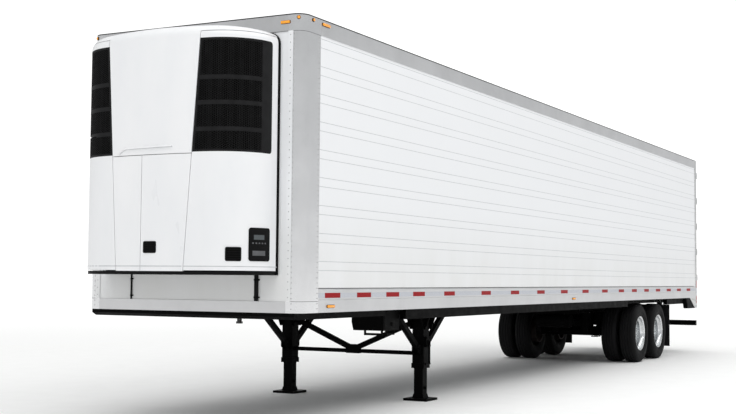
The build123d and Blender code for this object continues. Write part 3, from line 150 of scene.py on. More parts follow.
def between(tree, source, low, high, start=0.3, end=0.7):
    """Source carried from start..end to low..high."""
    made = add(tree, "MapRange", {"From Min": start, "From Max": end, "To Min": low, "To Max": high},
               {"Value": source})
    return made.outputs["Result"]


def bump(tree, height, metres, strength=1.0, over=None):
    """A bump of the given height, laid over another normal if one is given."""
    links = {"Height": height}
    if over:
        links["Normal"] = over
    return add(tree, "Bump", {"Distance": metres, "Strength": strength}, links).outputs["Normal"]


def link_object(name, data):
    made = bpy.data.objects.new(name, data)
    bpy.context.scene.collection.objects.link(made)
    return made


def plaster():
    """Matt plaster that glows far from the trailer, so that the floor fades into the backdrop."""
    material, tree, output = new_material("painted_plaster")
    grain = noise(tree, (3.0, 3.0, 3.0), 4.0)
    place = add(tree, "TexCoord").outputs["Object"]
    reach = add(tree, "VectorMath", {"operation": "LENGTH"}, {0: place})
    settings = {"Roughness": 0.9, "Specular IOR Level": 0.1, "Emission Color": linear("FFFFFF")}
    finish_shader(tree, output, settings, {
        "Base Color": ramp(tree, grain, ((0.3, SWEEP_HEX), (0.7, "FAFAF9"))),
        "Normal": bump(tree, grain, 0.0004),
        "Emission Strength": between(tree, reach.outputs["Value"], 0.0, GLOW_STRENGTH, GLOW_START, GLOW_END),
    })
    return material


def sweep():
    """A round floor with its edge far behind the trailer."""
    form = bmesh.new()
    bmesh.ops.create_circle(form, cap_ends=True, segments=96, radius=SWEEP_RADIUS)
    mesh = bpy.data.meshes.new("sweep")
    form.to_mesh(mesh)
    form.free()
    mesh.materials.append(plaster())
    link_object("sweep", mesh)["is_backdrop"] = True


def soft_box(name, place, size, watts, target):
    light = bpy.data.lights.new(name, "AREA")
    light.shape = "RECTANGLE"
    light.size, light.size_y = size
    light.energy = watts
    lamp = link_object(name, light)
    lamp.location = place
    lamp.rotation_euler = (Vector(target) - Vector(place)).to_track_quat("-Z", "Y").to_euler()


def camera():
    yaw, pitch, roll = (math.radians(turn) for turn in (CAMERA_YAW, CAMERA_PITCH, CAMERA_ROLL))
    ahead = Vector((math.cos(yaw) * math.cos(pitch), math.sin(yaw) * math.cos(pitch), math.sin(pitch)))
    right = Vector((math.sin(yaw), -math.cos(yaw), 0.0))
    up = right.cross(ahead)
    rolled_right = math.cos(roll) * right + math.sin(roll) * up
    rolled_up = math.cos(roll) * up - math.sin(roll) * right
    lens = bpy.data.cameras.new("camera")
    lens.sensor_width = SENSOR
    lens.lens = FOCAL_PIXELS / FRAME_WIDTH * SENSOR
    lens.clip_end = 2 * SWEEP_RADIUS
    eye = link_object("camera", lens)
    turn = Matrix((rolled_right, rolled_up, -ahead)).transposed()
    place = (NOSE_X + CAMERA_AHEAD, CAMERA_SIDE, CAMERA_HEIGHT)
    eye.matrix_world = Matrix.Translation(place) @ turn.to_4x4()
    bpy.context.scene.camera = eye


def sky():
    """A white tent, dimmer halfway up, with a bright backdrop behind the trailer."""
    world = bpy.data.worlds.new("sky")
    bpy.context.scene.world = world
    world.use_nodes = True
    tree = world.node_tree
    tree.nodes.clear()
    way = add(tree, "TexCoord").outputs["Generated"]
    yaw = math.radians(CAMERA_YAW)
    height = add(tree, "VectorMath", {"operation": "DOT_PRODUCT", 1: (0.0, 0.0, 1.0)}, {0: way})
    view = (math.cos(yaw), math.sin(yaw), 0.0)
    behind = add(tree, "VectorMath", {"operation": "DOT_PRODUCT", 1: view}, {0: way})
    cloth = ramp(tree, height.outputs["Value"], TENT)
    backdrop = between(tree, behind.outputs["Value"], 0.0, 1.0, *BACKDROP)
    both = add(tree, "Mix", {"data_type": "RGBA", 7: (1.0, 1.0, 1.0, 1.0)}, {0: backdrop, 6: cloth})
    glow = add(tree, "Background", {"Strength": SKY_STRENGTH}, {"Color": both.outputs[2]})
    output = add(tree, "OutputWorld")
    tree.links.new(glow.outputs["Background"], output.inputs["Surface"])


sweep()
sky()
camera()
soft_box("key_box", KEY_PLACE, KEY_SIZE, KEY_WATTS, KEY_TARGET)
soft_box("fill_box", FILL_PLACE, FILL_SIZE, FILL_WATTS, (NOSE_X, 0.0, FILL_TARGET_Z))
bpy.context.scene.view_settings.view_transform = "Standard"

# ---------------------------------------------------------------- Cargo floor and cross members
# Extruded aluminium deck with T ribs that air passes under, on black enamelled steel I-beams.
# Each beam is bolted through clips to the bottom rails.
RIB_PITCH = 0.057
RIB_TOP = 0.020
RIB_WIDTH = 0.026
RIB_WEB = 0.006
RIB_CAP = 0.004
RIB_SHORT = 0.030              # ribs end this far inside the floor's ends
MEMBER_PITCH = 0.355
MEMBER_HALF = 0.030
CLIP_THICK = 0.006
CLIP_SIZE = (0.070, 0.090)
CLIP_RISE = 0.015              # its foot above the beam's
CLIP_GAP = 0.004               # from the beam's web
CLIP_BOLT = (0.045, 0.018)     # how far along, and its width across flats
CLIP_BOLT_HEIGHTS = (0.035, 0.085)


def extrusion(name, along, light, dark, shine, patch=0.04):
    """Bare aluminium with drawing lines that run along one axis, and faint oxide patches."""
    material, tree, output = new_material(name)
    fine = [650.0, 650.0, 650.0]
    fine["xyz".index(along)] = 1.4
    lines = noise(tree, tuple(fine), 3.0, 0.6)
    cloud = noise(tree, (1.7, 1.7, 1.7), 4.0, 0.6)
    mixed = add(tree, "Math", {"operation": "ADD", "use_clamp": True},
                {0: cloud, 1: between(tree, lines, -0.08, 0.08)}).outputs["Value"]
    finish_shader(tree, output, {"Metallic": 1.0}, {
        "Base Color": ramp(tree, mixed, ((0.32, dark), (0.68, light))),
        "Roughness": between(tree, mixed, shine - patch, shine + patch),
        "Normal": bump(tree, lines, 0.00006, 0.6),
    })
    return material


def mottled(name, settings, patches, tones, shine, grain=None, relief=None):
    """A finish whose tone and roughness follow patches of noise, with a finer grain for its relief.

    Patches and grain say what noise takes, tones what a ramp takes, shine the roughness in each
    tone and relief what a bump takes. Without a grain, the patches are the relief.
    """
    material, tree, output = new_material(name)
    fine = noise(tree, *grain) if grain else None
    cloud = noise(tree, *patches)
    links = {"Base Color": ramp(tree, cloud, tones), "Roughness": between(tree, cloud, *shine)}
    if relief:
        links["Normal"] = bump(tree, fine or cloud, *relief)
    finish_shader(tree, output, settings, links)
    return material


def enamel(name, light, dark, shine):
    """Sprayed enamel over steel: nearly black and satin, with orange peel and a little dust in patches."""
    return mottled(name, {"Specular IOR Level": 0.03}, ((6.5, 6.5, 6.5), 6.0, 0.65),
                   ((0.40, dark), (0.85, light)), (shine, shine + 0.2),
                   grain=((260.0, 260.0, 260.0), 2.0), relief=(0.00012, 0.5))


def dress(material, *nodes):
    """Gives carried-over solids their finish."""
    for node in nodes:
        slots = NODES[node].data.materials
        slots.clear()
        slots.append(material)


def add_box(form, low, high):
    """A box between two corners."""
    middle = [(a + b) / 2 for a, b in zip(low, high)]
    size = [abs(b - a) for a, b in zip(low, high)]
    place = Matrix.Translation(middle) @ Matrix.Diagonal((*size, 1.0))
    bmesh.ops.create_cube(form, size=1.0, matrix=place)


def add_loft(form, loops):
    """A closed form over a row of loops that have as many points each."""
    form.faces.new(loops[0])
    form.faces.new(loops[-1][::-1])
    for near, far in zip(loops, loops[1:]):
        for at, corner in enumerate(near):
            after = (at + 1) % len(near)
            form.faces.new((corner, near[after], far[after], far[at]))


def add_prism(form, corners, reach):
    """A straight bar: a flat outline of corners carried along reach."""
    near = [form.verts.new(corner) for corner in corners]
    far = [form.verts.new(Vector(corner) + Vector(reach)) for corner in corners]
    add_loft(form, [near, far])


def add_turned(form, rows, place, steps=16, closed=False):
    """A shape turned about place's z axis from (height, radius) rows; a radius of 0 ends it in a point."""
    rings = []
    for height, radius in rows:
        turns = [2 * math.pi * step / steps for step in range(steps)] if radius else [0.0]
        rings.append([
            form.verts.new(place @ Vector((radius * math.cos(turn), radius * math.sin(turn), height)))
            for turn in turns
        ])
    if closed:
        rings.append(rings[0])
    for low, high in zip(rings, rings[1:]):
        for step in range(steps):
            after = step + 1
            corners = (low[step % len(low)], low[after % len(low)],
                       high[after % len(high)], high[step % len(high)])
            form.faces.new(list(dict.fromkeys(corners)))


def add_button(form, place, radius, rise, steps=12, inset=0.0):
    """A low round boss on a face, with its top drawn in by inset."""
    add_turned(form, ((0, 0), (0, radius), (rise, radius - inset), (rise, 0)), place, steps)


def around(place, count, circle, height=0.0, start=0.0):
    """Places on a circle round place's z axis, from start in steps."""
    for number in range(count):
        turn = 2 * math.pi * (number + start) / count
        yield place @ Matrix.Translation((circle * math.cos(turn), circle * math.sin(turn), height))


def spread(start, end, count):
    """Evenly spaced values from start to end."""
    return [start + number * (end - start) / (count - 1) for number in range(count)]


def facing(place, way):
    """A frame at a place, with its z axis along way."""
    return Matrix.Translation(place) @ Vector(way).to_track_quat("Z", "Y").to_matrix().to_4x4()


def add_band(form, place, inner, outer, half, steps):
    """A flat band round place's z axis."""
    rows = ((-half, inner), (-half, outer), (half, outer), (half, inner))
    add_turned(form, rows, place, steps, closed=True)


def add_rod(form, start, end, radius, steps=12):
    run = Vector(end) - Vector(start)
    add_button(form, facing(start, run), radius, run.length, steps)


def add_bolt(form, place, way, across=0.024):
    """A hexagon head on a plain washer."""
    radius = across / math.sqrt(3)
    spot = facing(place, way)
    add_button(form, spot, 1.35 * radius, 0.2 * radius)
    add_turned(form, ((0.2 * radius, 0), (0.2 * radius, radius), (1.0 * radius, radius),
                      (1.15 * radius, 0.8 * radius), (1.15 * radius, 0)), spot, 6)


def piece(name, form, material, body="trailer", edge=0.0, sharp=35.0):
    """A finished piece: its mesh, surface finish, rounded edges, and the body it goes by."""
    bmesh.ops.recalc_face_normals(form, faces=form.faces)
    mesh = bpy.data.meshes.new(name)
    form.to_mesh(mesh)
    form.free()
    mesh.materials.append(material)
    mesh.shade_smooth()
    mesh.set_sharp_from_angle(angle=math.radians(sharp))
    made = link_object(name, mesh)
    if edge:
        rounding = made.modifiers.new("edges", "BEVEL")
        rounding.width = edge
        rounding.segments = 2
        rounding.limit_method = "ANGLE"
    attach(made, body)
    return made


DECK = extrusion("deck_aluminium", "x", "B7B9BB", "A0A3A6", 0.42)
BLACK = enamel("black_enamel", "0D0D0E", "060606", 0.42)
PLATED = extrusion("zinc_plate", "y", "C2C4C3", "A9ACAC", 0.35)
dress(DECK, "floor")
dress(BLACK, "cross_members", "coupler_plate")

floor_low, floor_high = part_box("floor")
ribs = bmesh.new()
rib_count = int((floor_high.y - floor_low.y) / RIB_PITCH) - 1
for number in range(rib_count):
    y = (number - (rib_count - 1) / 2) * RIB_PITCH
    top = floor_high.z + RIB_TOP
    add_prism(ribs, [(floor_low.x + RIB_SHORT, y + across, top - down) for across, down in (
        (-RIB_WEB / 2, RIB_TOP), (RIB_WEB / 2, RIB_TOP), (RIB_WEB / 2, RIB_CAP), (RIB_WIDTH / 2, RIB_CAP / 2),
        (RIB_WIDTH / 2, 0), (-RIB_WIDTH / 2, 0), (-RIB_WIDTH / 2, RIB_CAP / 2), (-RIB_WEB / 2, RIB_CAP),
    )], (floor_high.x - floor_low.x - 2 * RIB_SHORT, 0, 0))
piece("floor_ribs", ribs, DECK)

members_low, members_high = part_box("cross_members")
clips = bmesh.new()
member_count = round((members_high.x - members_low.x - 2 * MEMBER_HALF) / MEMBER_PITCH) + 1
for number in range(member_count):
    x = members_high.x - MEMBER_HALF - number * MEMBER_PITCH
    for side in (-1, 1):
        wall = side * (members_high.y - CLIP_THICK)
        clip_x, clip_z = x + CLIP_GAP, members_low.z + CLIP_RISE
        add_box(clips, (clip_x, wall, clip_z),
                (clip_x + CLIP_SIZE[0], wall + side * CLIP_THICK, clip_z + CLIP_SIZE[1]))
        for height in CLIP_BOLT_HEIGHTS:
            add_bolt(clips, (x + CLIP_BOLT[0], wall, members_low.z + height), (0, -side, 0), CLIP_BOLT[1])
piece("cross_member_clips", clips, BLACK, edge=0.0015)

# ---------------------------------------------------------------- Side walls
# Foam-cored walls with prepainted aluminium sheets outside, lapped in horizontal courses.
# A grey sealant bead lies in each lap's seam, and rivets run down the wall at the posts inside it.
SHEET_PITCH = 0.2735
LAP_HEIGHT = 0.088
FIRST_SEAM = 0.177             # above the wall's lower edge
BEAD_HALF = 0.0032
BEAD_RISE = 0.0021


def prepainted_aluminium():
    """White coil-coated sheet: satin gloss, slightly uneven, with road film low on the walls."""
    material, tree, output = new_material("prepainted_aluminium")
    height = add(tree, "SeparateXYZ", None, {"Vector": add(tree, "TexCoord").outputs["Object"]})
    streaks = noise(tree, (2.2, 2.2, 0.5), 5.0, 0.6)
    film = between(tree, height.outputs["Z"], 0.5, 0.0, 1.35, 2.3)
    amount = add(tree, "Math", {"operation": "MULTIPLY"}, {0: film, 1: streaks}).outputs["Value"]
    waves = noise(tree, (0.7, 0.7, 2.4), 2.0)
    grain = noise(tree, (900.0, 900.0, 900.0), 2.0)
    finish_shader(tree, output, {"Coat Weight": 0.2, "Coat Roughness": 0.18}, {
        "Base Color": ramp(tree, amount, ((0.0, "EBECEE"), (0.45, "DEDEDC"))),
        "Roughness": between(tree, streaks, 0.32, 0.42),
        "Normal": bump(tree, grain, 0.00004, 0.4, bump(tree, waves, 0.0016, 0.4)),
    })
    return material


def sealant(name="grey_sealant", dark="B9BBBD", light="C9CBCD"):
    """Polyurethane sealant: matt grey, tooled by hand so that it is slightly uneven."""
    return mottled(name, {"Specular IOR Level": 0.3}, ((14.0, 14.0, 60.0), 3.0),
                   ((0.3, dark), (0.7, light)), (0.6, 0.8), relief=(0.0004, 0.6))


SKIN = prepainted_aluminium()
SEALANT = sealant()
dress(SKIN, "side_wall_left", "side_wall_right")
wall_low, wall_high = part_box("side_wall_left")
course_count = int((wall_high.z - wall_low.z - FIRST_SEAM - LAP_HEIGHT) / SHEET_PITCH) + 1
for side, name in ((1, "left"), (-1, "right")):
    beads = bmesh.new()
    face = side * wall_high.y
    for number in range(course_count):
        for seam in (FIRST_SEAM, FIRST_SEAM + LAP_HEIGHT):
            z = wall_low.z + number * SHEET_PITCH + seam
            add_prism(beads, [
                (wall_low.x, face, z - BEAD_HALF), (wall_low.x, face - side * BEAD_RISE, z),
                (wall_low.x, face, z + BEAD_HALF), (wall_low.x, face + side * BEAD_RISE / 3, z),
            ], (wall_high.x - wall_low.x, 0, 0))
    piece(f"seam_beads_{name}", beads, SEALANT)

# ---------------------------------------------------------------- Front wall
# The nose wall behind the refrigeration unit: prepainted sheet on a foam core.
# The sheet laps the corner posts, and a column of dome rivets holds each lap.
RIVET_RADIUS = 0.0055
RIVET_RISE = 0.0022


def add_rivet(form, place, way, radius=RIVET_RADIUS):
    """A dome rivet."""
    add_turned(form, ((0, 0), (0, radius), (0.65 * RIVET_RISE, 0.75 * radius), (RIVET_RISE, 0)),
               facing(place, way), 8)


def rivet_rows(name, rows, material):
    """One piece of many rivets, from (start, end, spacing, way) rows."""
    form = bmesh.new()
    for start, end, spacing, way in rows:
        run = Vector(end) - Vector(start)
        count = max(1, round(run.length / spacing))
        for number in range(count + 1):
            add_rivet(form, Vector(start) + run * number / count, way)
    return piece(name, form, material)


dress(SKIN, "front_wall")
NOSE_LAP = (1.130, 1.188)      # the nose sheet laps each corner post's leg
LAP_THICK = 0.0016
LAP_RIVET_PITCH = 0.075
ROW_INSET = 0.04               # a column of rivets stops this far inside its sheet's edge
FRONT_RAIL_HIGH = 0.110        # bottom rail across the nose
lap_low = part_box("bottom_rails")[0].z + FRONT_RAIL_HIGH
lap_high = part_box("top_rails")[0].z
lap_face = NOSE_X + LAP_THICK
RIVETS = extrusion("rivet_aluminium", "z", "B4B4B5", "A6A6A7", 0.6)
skin_laps = bmesh.new()
lap_rows = []
for side in (-1, 1):
    inner, outer = (side * edge for edge in NOSE_LAP)
    add_box(skin_laps, (NOSE_X, inner, lap_low), (lap_face, outer, lap_high))
    y = (inner + outer) / 2
    lap_rows.append(((lap_face, y, lap_low + ROW_INSET), (lap_face, y, lap_high - ROW_INSET),
                     LAP_RIVET_PITCH, (1, 0, 0)))
piece("nose_sheet_laps", skin_laps, SKIN)
rivet_rows("front_wall_rivets", lap_rows, RIVETS)

# ---------------------------------------------------------------- Roof
# White aluminium sheets stretched over the roof bows and held along their sides by the top rails.
# A sealed lap, 3 mm high, joins each sheet to the next.
LAP_WIDTH = 0.045
LAP_RISE = 0.003
LAP_INSET = 0.03               # from the roof's sides
LAP_COUNT = 9
dress(SKIN, "roof")
roof_low, roof_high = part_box("roof")
laps = bmesh.new()
for number in range(1, LAP_COUNT):
    x = roof_low.x + (roof_high.x - roof_low.x) * number / LAP_COUNT
    add_prism(laps, [(x + back, roof_low.y + LAP_INSET, roof_high.z + rise) for back, rise in (
        (-LAP_WIDTH / 2, 0), (LAP_WIDTH / 2, 0), (LAP_WIDTH / 3, LAP_RISE), (-LAP_WIDTH / 3, LAP_RISE),
    )], (0, roof_high.y - roof_low.y - 2 * LAP_INSET, 0))
piece("roof_laps", laps, SEALANT)

# ---------------------------------------------------------------- Rails
# Extruded aluminium rails at the foot and head of the walls, mill finish, riveted to the skins.
# A rubber-like seal closes each top edge over the roof sheet.
RAIL = extrusion("mill_aluminium_along", "x", "D9D9DA", "CDCDCE", 0.38)
dress(RAIL, "bottom_rails", "top_rails")
foot_low, foot_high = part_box("bottom_rails")
head_low, head_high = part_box("top_rails")
HALF_WIDTH = foot_high.y
HEAD_ROW = (head_low.z + 0.018, 0.1)           # height and spacing of each row of rivets
FOOT_ROWS = ((foot_high.z - 0.026, 0.1), (foot_low.z + 0.022, 0.178))
NOSE_ROW = (foot_low.z + 0.095, 0.15)
NOSE_ROW_HALF = 1.10
run_start = foot_low.x + ROW_INSET
run_end = wall_high.x - ROW_INSET
rail_rows = []
for side in (-1, 1):
    out = side * HALF_WIDTH
    for height, spacing in (HEAD_ROW, *FOOT_ROWS):
        rail_rows.append(((run_start, out, height), (run_end, out, height), spacing, (0, side, 0)))
for height, spacing in (HEAD_ROW, NOSE_ROW):
    rail_rows.append(((foot_high.x, -NOSE_ROW_HALF, height), (foot_high.x, NOSE_ROW_HALF, height),
                      spacing, (1, 0, 0)))
rivet_rows("rail_rivets", rail_rows, RAIL)

# Black butyl and rubber edging: matt, with a little grey chalking.
SEAL = mottled("edge_seal", {"Specular IOR Level": 0.3}, ((20.0, 20.0, 20.0), 4.0),
               ((0.35, "1B1C1D"), (0.8, "333436")), (0.55, 0.8), relief=(0.0003, 0.5))
SEAL_SIDE = 0.008
FOOT_SEAL_BACK = 0.13          # the seal along the wall's foot starts behind the post
FOOT_SEAL = ((-0.001, 0), (0.002, 0), (0.002, 0.006), (-0.001, 0.006))      # out of the wall, up
seals = bmesh.new()
for side in (-1, 1):
    add_prism(seals, [
        (head_low.x, side * HALF_WIDTH, head_high.z - 1.4 * SEAL_SIDE),
        (head_low.x, side * HALF_WIDTH, head_high.z),
        (head_low.x, side * (HALF_WIDTH - SEAL_SIDE), head_high.z),
    ], (wall_high.x - head_low.x, 0, 0))
    start = head_low.x + FOOT_SEAL_BACK
    add_prism(seals, [(start, side * (wall_high.y + out), wall_low.z + up) for out, up in FOOT_SEAL],
              (wall_high.x - start, 0, 0))
piece("rail_edge_seals", seals, SEAL)

# ---------------------------------------------------------------- Conspicuity tape
# Prismatic reflective film, 50 mm wide, stuck along the bottom rail: red blocks on a silver-white band.
# More of it marks the rear frame. It is about half a millimetre thick.
TAPE_WIDTH = 0.050
TAPE_THICK = 0.0006
TAPE_LOW = foot_low.z + 0.143
TAPE_INSET = (0.02, 0.005)     # from the rail's rear end and from the wall's front end
BLOCK_LENGTH = 0.31
# Runs of red blocks: start behind the nose, pitch and count.
TAPE_RUNS = ((0.464, 0.661, 4), (3.29, 1.0, 1), (4.43, 1.015, 6), (10.45, 0.80, 8))
POST_TAPE = ((1.00, "red"), (1.16, "silver"), (1.32, "red"))    # lower edges on the rear posts
POST_TAPE_X = (0.02, 0.07)
POST_TAPE_TALL = 0.15
SILL_TAPE_Z = 1.30
SILL_BLOCK = 0.28
SILL_BLOCKS = 9
CORNER_MARK = 0.30             # legs of the silver corners at the top of the frame
CORNER_MARK_Y = 1.27
CORNER_MARK_Z = 3.93


def reflective_film(name, light, dark):
    """Glossy film over moulded prisms, whose 4 mm cells show as a faint mosaic."""
    material, tree, output = new_material(name)
    place = add(tree, "TexCoord")
    cells = add(tree, "TexVoronoi", {"Scale": 250.0}, {"Vector": place.outputs["Object"]})
    finish_shader(tree, output, {"Roughness": 0.45, "Specular IOR Level": 0.12}, {
        "Base Color": ramp(tree, cells.outputs["Distance"], ((0.2, light), (0.7, dark))),
        "Normal": bump(tree, cells.outputs["Distance"], 0.0003, 0.5),
    })
    return material


TAPE_RED = reflective_film("red_reflective_film", "A80C16", "86060E")
TAPE_SILVER = reflective_film("silver_reflective_film", "CDCFD4", "B6B9C0")
tapes = {"red": bmesh.new(), "silver": bmesh.new()}


def add_tape(colour, low, high, way, thick=TAPE_THICK):
    """Film on a face that looks along way, from corner to corner."""
    add_box(tapes[colour], low, Vector(high) + thick * Vector(way))


def add_stripes(face, z, length, count):
    """Red and silver film by turns across a rear face."""
    for number in range(count):
        y = (number - count / 2) * length
        add_tape("silver" if number % 2 else "red", (face, y, z), (face, y + length, z + TAPE_WIDTH),
                 (-1, 0, 0))


tape_high = TAPE_LOW + TAPE_WIDTH
tape_front = wall_high.x - TAPE_INSET[1]
for side in (-1, 1):
    out = side * HALF_WIDTH
    way = (0, side, 0)
    add_tape("silver", (foot_low.x + TAPE_INSET[0], out, TAPE_LOW), (tape_front, out, tape_high), way)
    for start, pitch, count in TAPE_RUNS:
        for number in range(count):
            x = NOSE_X - start - number * pitch
            if x - BLOCK_LENGTH >= foot_low.x:
                add_tape("red", (x - BLOCK_LENGTH, out, TAPE_LOW), (min(x, tape_front), out, tape_high),
                         way, 2 * TAPE_THICK)
rear_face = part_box("rear_posts")[0].x
for side in (-1, 1):
    out = side * HALF_WIDTH
    for low, colour in POST_TAPE:
        add_tape(colour, (rear_face + POST_TAPE_X[0], out, low),
                 (rear_face + POST_TAPE_X[1], out, low + POST_TAPE_TALL), (0, side, 0))
add_stripes(rear_face, SILL_TAPE_Z, SILL_BLOCK, SILL_BLOCKS)
for side in (-1, 1):
    for reach, z_low, z_high in ((CORNER_MARK, CORNER_MARK_Z, CORNER_MARK_Z + TAPE_WIDTH),
                                 (TAPE_WIDTH, CORNER_MARK_Z - CORNER_MARK, CORNER_MARK_Z)):
        add_tape("silver", (rear_face, side * CORNER_MARK_Y, z_low),
                 (rear_face, side * (CORNER_MARK_Y - reach), z_high), (-1, 0, 0))
piece("tape_red", tapes["red"], TAPE_RED)
piece("tape_silver", tapes["silver"], TAPE_SILVER)

# ---------------------------------------------------------------- Front corner posts and caps
# Polished aluminium extrusions with a rounded corner, under cast caps of the same metal.
# A column of rivets fixes each edge.
POST = extrusion("bright_aluminium_upright", "z", "E9E9EA", "DEDEDF", 0.22, 0.03)
dress(POST, "front_corner_posts", "front_corner_caps")
post_low, post_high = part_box("front_corner_posts")
POST_ROUND = 0.125             # outer radius of the corner
POST_STEPS = 8
SIDE_LEG = 0.335
SIDE_ROWS = (0.015, 0.032)     # columns of rivets, in front of the post's rear edge
NOSE_COLUMN = 0.008            # and beside the nose sheet's lap
POST_ROW_TOP = 0.03            # they stop this far below the post's top
POST_RIVET_PITCH = 0.05
STRIP_SUNK = -0.001            # a strip's back and face, out of the metal
STRIP_OUT = 0.0012
EDGE_STRIP = (-0.011, -0.001)  # heights of each strip, from the top rail's head,
HEAD_STRIP = (-0.005, 0.0)     # from its foot
FOOT_STRIP = (-0.001, 0.004)   # and from the nose's bottom rail
post_rows = []
row_ends = (post_low.z + ROW_INSET, post_high.z - POST_ROW_TOP)
for side in (-1, 1):
    columns = [(post_low.x + x, side * HALF_WIDTH, (0, side, 0)) for x in SIDE_ROWS]
    columns.append((NOSE_X, side * (NOSE_LAP[1] + NOSE_COLUMN), (1, 0, 0)))
    for x, y, way in columns:
        post_rows.append(((x, y, row_ends[0]), (x, y, row_ends[1]), POST_RIVET_PITCH, way))
rivet_rows("corner_post_rivets", post_rows, RIVETS)


def add_corner_strip(form, side, low, high, start):
    """A thin strip round a front corner, from start on the nose to the side wall."""
    path = [(0.0, start, 0.0)]
    for step in range(POST_STEPS + 1):
        turn = math.pi / 2 * step / POST_STEPS
        back, inset = POST_ROUND * (1 - math.cos(turn)), POST_ROUND * (1 - math.sin(turn))
        path.append((-back, HALF_WIDTH - inset, turn))
    path.append((-SIDE_LEG, HALF_WIDTH, math.pi / 2))
    corners = ((low, STRIP_SUNK), (high, STRIP_SUNK), (high, STRIP_OUT), (low, STRIP_OUT))
    loops = []
    for back, across, turn in path:
        lean = Vector((math.cos(turn), side * math.sin(turn), 0))
        loops.append([form.verts.new(Vector((NOSE_X + back, side * across, z)) + lean * out)
                      for z, out in corners])
    add_loft(form, loops)


# Thin strips round each front corner: a black seal at the top edge, a dark grey joint under the cap that is
# also painted shadow under the top rail's step, and the same dark grey joint above the bottom rail.
edge_strips = bmesh.new()
joint_and_shadow_strips = bmesh.new()
for side in (-1, 1):
    for form, base, (low, high), start in (
        (edge_strips, head_high.z, EDGE_STRIP, 0.0), (joint_and_shadow_strips, head_low.z, HEAD_STRIP, 0.0),
        (joint_and_shadow_strips, lap_low, FOOT_STRIP, NOSE_LAP[1]),
    ):
        add_corner_strip(form, side, base + low, base + high, start)
piece("front_edge_seals", edge_strips, SEAL)
piece("front_joint_and_shadow_strips", joint_and_shadow_strips, sealant("sealant_with_painted_shadow", "6A6A6B", "7C7C7D"))

# ---------------------------------------------------------------- Rear frame
# Stainless posts, header and sill, welded. The sill carries steel scuff ribs, a blank plate holder and
# bolts that hold the brackets below it.
STAINLESS = extrusion("stainless_upright", "z", "CFCFCE", "BEBFBF", 0.27)
dress(STAINLESS, "rear_posts", "rear_header", "rear_sill")
sill_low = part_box("rear_sill")[0]
SCUFF_ZS = (1.145, 1.195, 1.245)
SCUFF_ENDS = (0.18, 1.24)
SCUFF_SECTION = ((0, 0), (-0.007, 0.006), (-0.007, 0.020), (0, 0.026))      # back, up
PLATE_HALF = 0.155
PLATE_Z = (1.125, 1.285)
PLATE_THICK = 0.004
PLATE_RIM = (0.008, 0.009)     # width, and distance out of the sill
PLATE_BOLT_Y = 0.12
PLATE_BOLT_Z = 1.262
BRACKET_BOLTS = ((-8.30, 0.94), (-8.24, 0.94), (-8.30, 1.06), (-8.20, 1.06), (-8.08, 1.08), (-7.94, 1.09))
scuffs = bmesh.new()
for z in SCUFF_ZS:
    for side in (-1, 1):
        inner, outer = (side * end for end in SCUFF_ENDS)
        add_prism(scuffs, [(sill_low.x + back, inner, z + up) for back, up in SCUFF_SECTION],
                  (0, outer - inner, 0))
piece("sill_scuff_ribs", scuffs, STAINLESS)
holder = bmesh.new()
plate_face = sill_low.x - PLATE_THICK
add_box(holder, (plate_face, -PLATE_HALF, PLATE_Z[0]), (sill_low.x, PLATE_HALF, PLATE_Z[1]))
rim_width, rim_out = PLATE_RIM
for y_low, y_high, z_low, z_high in (
    (-PLATE_HALF, -PLATE_HALF + rim_width, *PLATE_Z), (PLATE_HALF - rim_width, PLATE_HALF, *PLATE_Z),
    (-PLATE_HALF, PLATE_HALF, PLATE_Z[0], PLATE_Z[0] + rim_width),
    (-PLATE_HALF, PLATE_HALF, PLATE_Z[1] - rim_width, PLATE_Z[1]),
):
    add_box(holder, (sill_low.x - rim_out, y_low, z_low), (plate_face, y_high, z_high))
for y in (-PLATE_BOLT_Y, PLATE_BOLT_Y):
    add_bolt(holder, (plate_face, y, PLATE_BOLT_Z), (-1, 0, 0), 0.010)
piece("plate_holder", holder, PLATED, edge=0.0012)
frame_bolts = bmesh.new()
for side in (-1, 1):
    for x, z in BRACKET_BOLTS:
        add_bolt(frame_bolts, (x, side * HALF_WIDTH, z), (0, side, 0), 0.016)
piece("rear_bracket_bolts", frame_bolts, PLATED)

